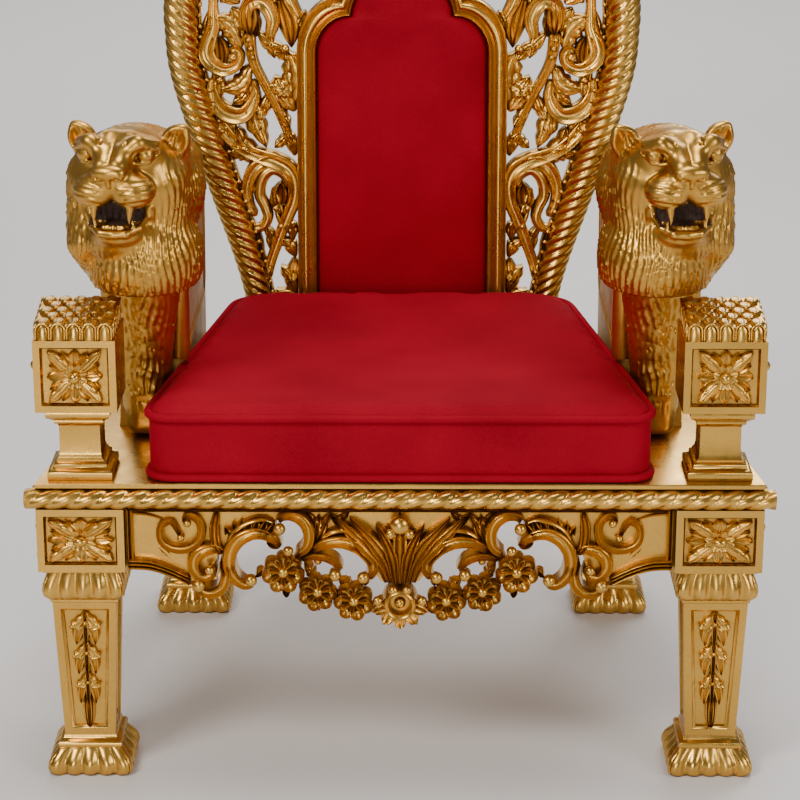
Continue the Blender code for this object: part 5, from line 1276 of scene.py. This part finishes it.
def lion_head(p):
    """The head about its own centre, facing -Y. Its forms are in millimetres."""
    p = p * 1000
    s = p.copy()
    s[..., 0] = np.abs(p[..., 0])
    f = ellipsoid(p, (0, 10, -6), (68, 72, 52))
    f = blend(f, ellipsoid(s, (34, -22, -16), (33, 40, 38)), 20)
    f = blend(f, ellipsoid(p, (0, -34, 24), (52, 38, 27)), 16)
    f = blend(f, capsule(s, (11, -50, 34), (9, -94, 18.5), 17.5, 12.5), 16)
    f = blend(f, ellipsoid(s, (23.5, -79, -14), (27.5, 26.5, 21.5)), 7)
    f = blend(f, ellipsoid(p, (0, -78, 0), (28, 24, 16)), 12)
    # brows run up and out from the bridge, over ball eyes between two lids
    f = chain(f, s, [(14, -80, 33), (30, -75, 44), (48, -57, 41)], [4.5, 6, 4], 18)
    f = cut(f, ellipsoid(s, (37, -80, 28.5), (13.5, 15, 9)), 4)
    f = blend(f, ellipsoid(s, (36.5, -66.5, 28.5), (11.2, 10.5, 9.8)), 0.8)
    f = chain(f, s, [(21, -81, 22), (29, -78.5, 35.5), (39.5, -74, 40), (53, -59, 32.5)],
              [2.2, 3.4, 3.8, 2.4], 1.2)
    f = chain(f, s, [(21, -81, 21), (30, -76.5, 19), (41, -70.5, 19.5), (53, -58.5, 30)], [2, 2.6, 2.6, 2],
              1.2)
    # furrows over the brow and down the forehead
    f = cut(f, capsule(s, (6, -74, 48), (5, -50, 58), 2.2, 1.6), 6)
    for k in range(3):
        f = cut(f, capsule(s, (17 + 6 * k, -81 + 3 * k, 42 + 3 * k), (15 + 9 * k, -64, 58), 2.2, 1.6), 3)
    # nose pad, nostrils and the groove under it
    f = blend(f, ellipsoid(p, (0, -103.5, 14), (21.5, 10, 9.2)), 1.5)
    f = blend(f, ellipsoid(s, (12, -104.5, 9), (8, 7.2, 6.2)), 2)
    f = blend(f, capsule(p, (0, -108.5, 12), (0, -105, -4), 3.6, 2.2), 4)
    f = cut(f, capsule(s, (8, -114, 4), (15.5, -107, 8), 3.2, 2.4), 1)
    f = cut(f, capsule(p, (0, -114, 6), (0, -108.5, -34), 1.4, 2.6), 2)
    # whisker grooves, combed back over the lobes of the muzzle
    x, y, z = s[..., 0], p[..., 1], p[..., 2]
    lobe = step_up(x, 9, 15) * (1 - step_up(x, 46, 54)) * step_up(-y, 60, 74) * (1 - step_up(z, -2, 3))
    comb = (z + 3 - 0.16 * (x - 12) + 0.006 * (x - 28) ** 2) / 7.8
    f = f + 2.1 * lobe * np.exp(-((comb - np.round(comb)) / 0.20) ** 2)
    # jaw, open mouth, lips
    f = blend(f, ellipsoid(p, (0, -56, -72), (34.5, 39, 16)), 10)
    f = blend(f, ellipsoid(p, (0, -50, -85), (30, 34, 14)), 10)
    f = cut(f, rounded_box(p, (-32.5, -140, -60), (32.5, -48, -34), 7), 1.5)
    f = chain(f, s, [(0, -95, -65), (16, -92, -64.5), (29.5, -78.5, -59.5), (36.5, -58, -49), (38, -60, -38)],
              [5.6, 5, 4, 3.6, 3], 3)
    # teeth and tongue
    f = np.minimum(f, capsule(s, (22.5, -93.5, -33), (21.8, -96.5, -50), 5, 1.2))
    f = np.minimum(f, capsule(s, (23.5, -84, -64), (24, -87, -49), 4, 1))
    for tooth in (0, 6, 12):
        f = np.minimum(f, ellipsoid(s, (tooth, -88.5, -59), (3.1, 3, 5.6)))
    f = blend(f, ellipsoid(p, (0, -66, -59), (16, 20, 5)), 3)
    # ears: a cupped shell with a rolled rim
    q = s - np.array((60, -4, 34.5))
    lean = math.radians(24)
    e = np.empty_like(q)
    e[..., 0] = q[..., 0] * math.cos(lean) - q[..., 2] * math.sin(lean)
    e[..., 1] = q[..., 1]
    e[..., 2] = q[..., 0] * math.sin(lean) + q[..., 2] * math.cos(lean)
    ear = ellipsoid(e, (0, 0, -3), (18.5, 12, 22))
    ear = blend(ear, capsule(e, (1, 0, 4), (2, 1, 14.5), 12, 6.5), 6)
    hollow = ellipsoid(e, (0, -12.5, -3), (14.2, 13, 17.2))
    hollow = blend(hollow, capsule(e, (1, -11, 4), (2, -8, 13), 7.8, 3.4), 5)
    ear = cut(ear, hollow, 2)
    ear = blend(ear, capsule(e, (-3, -2, -14), (-4, -5, 8), 3.8, 1.4), 3)
    return blend(f, ear, 4) / 1000


def in_mouth(p):
    """Where the back of the open mouth is, so that it can be given painted shade."""
    q = p - LION_CENTRE
    cosine, sine = math.cos(-LION_YAW), math.sin(-LION_YAW)
    x = q[..., 0] * cosine - q[..., 1] * sine
    y = q[..., 0] * sine + q[..., 1] * cosine
    return (np.abs(x) < 0.0320) & (y > -0.0845) & (y < -0.040) & (q[..., 2] > -0.0575) & (q[..., 2] < -0.0335)


def locks(turn, down, width, length):
    """Overlapping locks of fur: each is ridged, sways a little and stands out most at its tip."""
    u = turn / width + 0.45 * np.sin(down / length * 1.7 + 2.0 * np.sin(turn / width * 0.31))
    cell = np.floor(u)
    stagger = np.abs(np.sin(cell * 12.9898) * 43758.5453) % 1.0
    v = down / length + stagger
    t = v - np.floor(v)
    x = (u - cell - 0.5) * 2
    groove = 1 - np.abs(x) ** 2.5
    tip = np.clip(1 - (np.abs(x) / (1.10 - 0.8 * t ** 3)) ** 2, 0, 1)
    hair = 0.20 * np.cos(3 * math.pi * x)
    return groove * (0.45 + 0.55 * tip * (0.3 + 0.7 * t)) + hair * groove


def lion_form(p):
    """Lion bust at the right-hand side, in the object's own frame."""
    q = p - LION_CENTRE
    cosine, sine = math.cos(-LION_YAW), math.sin(-LION_YAW)
    head = q.copy()
    head[..., 0] = q[..., 0] * cosine - q[..., 1] * sine
    head[..., 1] = q[..., 0] * sine + q[..., 1] * cosine
    f = lion_head(head)
    turn = np.arctan2(q[..., 0], -q[..., 1] + 0.03) * 0.085
    crown = step_up(q[..., 2], 0.0, 0.03)
    down = -q[..., 2] * (1 - 0.6 * crown) + 0.25 * np.abs(head[..., 0])
    down = down + crown * 0.8 * np.hypot(q[..., 0], q[..., 1] + 0.06)
    mane = ellipsoid(q, (-0.008, 0.044, -0.038), (0.078, 0.066, 0.076))
    mane = blend(mane, capsule(head, (0, 0.006, -0.026), (0, 0.014, -0.105), 0.067, 0.068), 0.02)
    mane = blend(mane, capsule(head, (-0.046, -0.020, -0.010), (-0.036, -0.018, -0.088), 0.026, 0.032), 0.02)
    mane = blend(mane, capsule(head, (0.046, -0.020, -0.010), (0.040, -0.020, -0.090), 0.026, 0.036), 0.02)
    mane = mane - 0.0036 * locks(turn, down, 0.0074, 0.026)
    bust = ellipsoid(q, (-0.014, 0.004, -0.115), (0.071, 0.087, 0.076))
    bust = bust - 0.0034 * locks(turn + 0.003, down + 0.01, 0.0070, 0.030)
    beard = ellipsoid(head, (0, -0.030, -0.086), (0.050, 0.050, 0.028))
    beard = beard - 0.0030 * locks(turn, down, 0.0060, 0.020)
    f = blend(f, mane, 0.008)
    f = blend(f, bust, 0.005)
    f = blend(f, beard, 0.006)
    return np.maximum(f, LION_CENTRE[2] - BUST_DROP - p[..., 2])


def chest_form(p):
    """Furred chest under the bust, tapering to a point in front of the smooth arm."""
    f = capsule(p, (0.322, ARM_FRONT_Y - 0.034, 0.625), (0.330, ARM_FRONT_Y - 0.016, 0.440), 0.046, 0.022)
    f = blend(f, rounded_box(p, (0.302, ARM_FRONT_Y - 0.05, 0.398), (0.352, ARM_FRONT_Y + 0.03, 0.60), 0.016),
              0.02)
    turn = np.arctan2(p[..., 0] - 0.322, -(p[..., 1] - ARM_FRONT_Y) + 0.01) * 0.06
    fade = step_up(p[..., 2], 0.415, 0.45)
    return f - 0.0034 * fade * locks(turn, -p[..., 2], 0.0068, 0.024)


def smooth_arm():
    """The plain rounded arm rail and the two short columns in front of it."""
    low, high, bend = (0.278, DECK_TOP + GAP), (0.366, 0.700), 0.032
    outline = [(low[0], low[1]), (high[0], low[1])]
    for centre, start in (((high[0] - bend, high[1] - bend), 0.0),
                          ((low[0] + bend, high[1] - bend), math.pi / 2)):
        for t in np.linspace(start, start + math.pi / 2, 10):
            outline.append((centre[0] + bend * math.cos(t), centre[1] + bend * math.sin(t)))
    outline = np.array(outline)
    heart = np.array(((low[0] + high[0]) / 2, 0.56))
    rings = []
    for inset, depth in ((0.030, 0.0), (0.021, 0.0012), (0.012, 0.0048), (0.006, 0.0100), (0.002, 0.0180),
                         (0.0, 0.0300)):
        ring = outline - np.sign(outline - heart) * inset * (outline[:, 1:] > low[1] + 0.001)
        rings.append([(x, ARM_FRONT_Y + depth, z) for x, z in ring])
    for share in np.linspace(0.1, 1, 6):
        rings.append([(x, ARM_FRONT_Y + 0.03 + share * (BACK_FRONT_Y - 0.0035 - ARM_FRONT_Y - 0.03)
                       + share * (z - DECK_TOP) * LEAN, z) for x, z in outline])
    bodies = [tube(rings)]
    near, far = ARM_FRONT_Y + 0.022, BACK_FRONT_Y - 0.022
    for face, lowest in ((high[0], 0.420), (low[0], 0.492)):
        sign = 1 if face == high[0] else -1
        for gap, wide in ((0.0, 0.0045), (0.012, 0.0020)):
            corners = [(near + gap, lowest + gap), (far - gap, lowest + gap),
                       (far + 0.018 - gap, 0.662 - gap), (near + gap, 0.662 - gap)]
            for i in range(4):
                rail = np.linspace(corners[i], corners[(i + 1) % 4], 5)
                points, faces = band(rail, [wide, wide], wide * 0.8, ROUND, 0.02)
                bodies.append((np.stack((face - 0.0008 * sign + sign * points[:, 2], points[:, 0],
                                         points[:, 1]), axis=1), faces))
    turns = np.linspace(0, 2 * math.pi, 28, endpoint=False)
    for (x, y), radius, foot in (((0.2850, ARM_FRONT_Y + 0.004), 0.0130, 0.4900),
                                 ((0.3640, ARM_FRONT_Y - 0.036), 0.0165, 0.5600)):
        bodies.append(tube([[(x + radius * size * math.cos(t), y + radius * size * math.sin(t), z)
                             for t in turns]
                            for z, size in ((foot, 0.96), (foot + 0.003, 1.0), (0.600, 1.0), (0.640, 1.0))]))
    return bodies


def surface_of(form, low, high, cell):
    """A closed surface of quads where the form changes sign, one point in each crossed cell."""
    axes = [np.arange(a, b + cell, cell) for a, b in zip(low, high)]
    value = form(np.stack(np.meshgrid(*axes, indexing="ij"), axis=-1))
    shape = value.shape
    inside = value < 0
    total = np.zeros(tuple(n - 1 for n in shape) + (3,))
    crossings = np.zeros(total.shape[:3])
    corner_sum = np.zeros(total.shape[:3], dtype=int)
    corners = [(i, j, k) for i in (0, 1) for j in (0, 1) for k in (0, 1)]
    for i, j, k in corners:
        corner_sum += inside[i:shape[0] - 1 + i, j:shape[1] - 1 + j, k:shape[2] - 1 + k]
    active = (corner_sum > 0) & (corner_sum < 8)
    for axis in range(3):
        for corner in corners:
            if corner[axis]:
                continue
            far = list(corner)
            far[axis] = 1
            a = value[tuple(slice(c, n - 1 + c) for c, n in zip(corner, shape))]
            b = value[tuple(slice(c, n - 1 + c) for c, n in zip(far, shape))]
            crossed = (a < 0) != (b < 0)
            t = np.where(crossed, a / np.where(crossed, a - b, 1.0), 0.0)
            for k in range(3):
                total[..., k] += np.where(crossed, corner[k] + (t if k == axis else 0.0), 0.0)
            crossings += crossed
    number = -np.ones(active.shape, dtype=int)
    number[active] = np.arange(active.sum())
    spots = np.array(low) + (np.argwhere(active) + total[active] / crossings[active][:, None]) * cell
    faces = []
    for axis in range(3):
        u, v = (axis + 1) % 3, (axis + 2) % 3
        first = inside[tuple(slice(0, n - 1) if k == axis else slice(1, n - 1) for k, n in enumerate(shape))]
        second = inside[tuple(slice(1, n) if k == axis else slice(1, n - 1) for k, n in enumerate(shape))]
        for flag, flip in ((first & ~second, False), (~first & second, True)):
            at = np.argwhere(flag)
            step = np.zeros((4, 3), dtype=int)
            step[1, u] = step[2, u] = step[2, v] = step[3, v] = 1
            quads = np.stack([number[tuple((at + offset).T)] for offset in step], axis=1)
            faces.append(quads[:, ::-1] if flip else quads)
    return spots, np.concatenate(faces).tolist()


def lions():
    cell = 0.0022
    x, y, z = LION_CENTRE
    work = Carving()
    work.add(surface_of(lion_form, (x - 0.095, y - 0.125, z - BUST_DROP - 0.003),
                        (x + 0.095, y + 0.125, z + 0.070), cell))
    low_cell = 0.0029
    work.add(surface_of(chest_form, (x - 0.062, ARM_FRONT_Y - 0.095, 0.394),
                        (x + 0.066, ARM_FRONT_Y + 0.040, 0.645), low_cell))
    arm = smooth_arm()
    furred = work.count
    work.add_all(arm)
    plain = work.count - sum(len(body[0]) for body in arm[-2:])
    for spots in work.points:
        spots[:, 2] = np.maximum(spots[:, 2], DECK_TOP + GAP)
    for word, mirror in (("right", False), ("left", True)):
        item = work.piece("carved_lion_" + word, FUR_GOLD, ["lion_" + word], mirror, 70)
        item.data.materials.append(MOUTH_SHADE)
        item.data.materials.append(OLD_GOLD)
        spots = corners_of(item)
        sides = np.array([face.vertices[0] for face in item.data.polygons])
        # Painted shade: faces at the back of the mouth take the dark mouth material.
        dark = in_mouth(spots * np.array((-1 if mirror else 1, 1, 1)))[sides]
        on_arm = (sides >= furred) & (sides < plain)
        item.data.polygons.foreach_set("material_index", (dark + 2 * on_arm).astype(np.int32))


# Stage

def stage():
    mesh = bpy.data.meshes.new("studio_floor")
    reach = 9.0
    mesh.from_pydata([(-reach, -reach, 0), (reach, -reach, 0), (reach, reach, 0), (-reach, reach, 0)], [],
                     [(0, 1, 2, 3)])
    mesh.shade_smooth()
    mesh.materials.append(pale_floor())
    floor = bpy.data.objects.new("studio_floor", mesh)
    bpy.context.scene.collection.objects.link(floor)
    for name, spot, aim, size, power, colour in (
        ("key_light", (-1.8, -2.2, 2.9), (0, 0, 0.6), 1.1, 74, (1.0, 0.97, 0.93)),
        ("fill_light", (2.4, -1.9, 1.6), (0, 0, 0.6), 1.3, 34, (1.0, 0.97, 0.95)),
        ("top_light", (0.1, 0.1, 3.3), (0, 0, 0.5), 1.2, 50, (1.0, 0.98, 0.96)),
        ("front_light", (-0.5, -3.6, 0.9), (0, 0, 0.45), 1.0, 32, (1.0, 0.96, 0.91)),
        ("far_light", (0.0, 5.2, 3.2), (0, 5.4, 0.0), 5.0, 210, (1.0, 0.99, 0.98)),
        ("back_light", (1.2, 2.2, 2.2), (0, 0, 0.9), 1.2, 22, (0.95, 0.97, 1.0)),
    ):
        light = bpy.data.lights.new(name, "AREA")
        light.shape = "SQUARE"
        light.size = size
        light.energy = power
        light.color = colour
        lamp = bpy.data.objects.new(name, light)
        lamp.location = spot
        lamp.rotation_euler = (Vector(aim) - Vector(spot)).to_track_quat("-Z", "Y").to_euler()
        bpy.context.scene.collection.objects.link(lamp)
    world = bpy.data.worlds.new("studio")
    world.use_nodes = True
    world.node_tree.nodes["Background"].inputs["Color"].default_value = (0.60, 0.58, 0.57, 1.0)
    world.node_tree.nodes["Background"].inputs["Strength"].default_value = 0.33
    bpy.context.scene.world = world


def camera():
    """The photograph's own view, solved from the feet, the seat's corners and the uprights."""
    data = bpy.data.cameras.new("camera")
    data.sensor_width = 36
    data.lens = data.sensor_width * FOCAL_PIXELS / PICTURE_PIXELS
    item = bpy.data.objects.new("camera", data)
    item.location = CAMERA_SPOT
    item.rotation_euler = (math.radians(90 - CAMERA_TILT_DEGREES), 0.0,
                           math.atan(MIDDLE_SHIFT_PIXELS / FOCAL_PIXELS))
    bpy.context.scene.collection.objects.link(item)
    bpy.context.scene.camera = item


legs()
post("left", -1)
post("right", 1)
deck()
seat_ropes()
rails()
apron()
back_frame()
back_rope("right", False)
back_rope("left", True)
back_panel()
cushion()
lions()
stage()
camera()
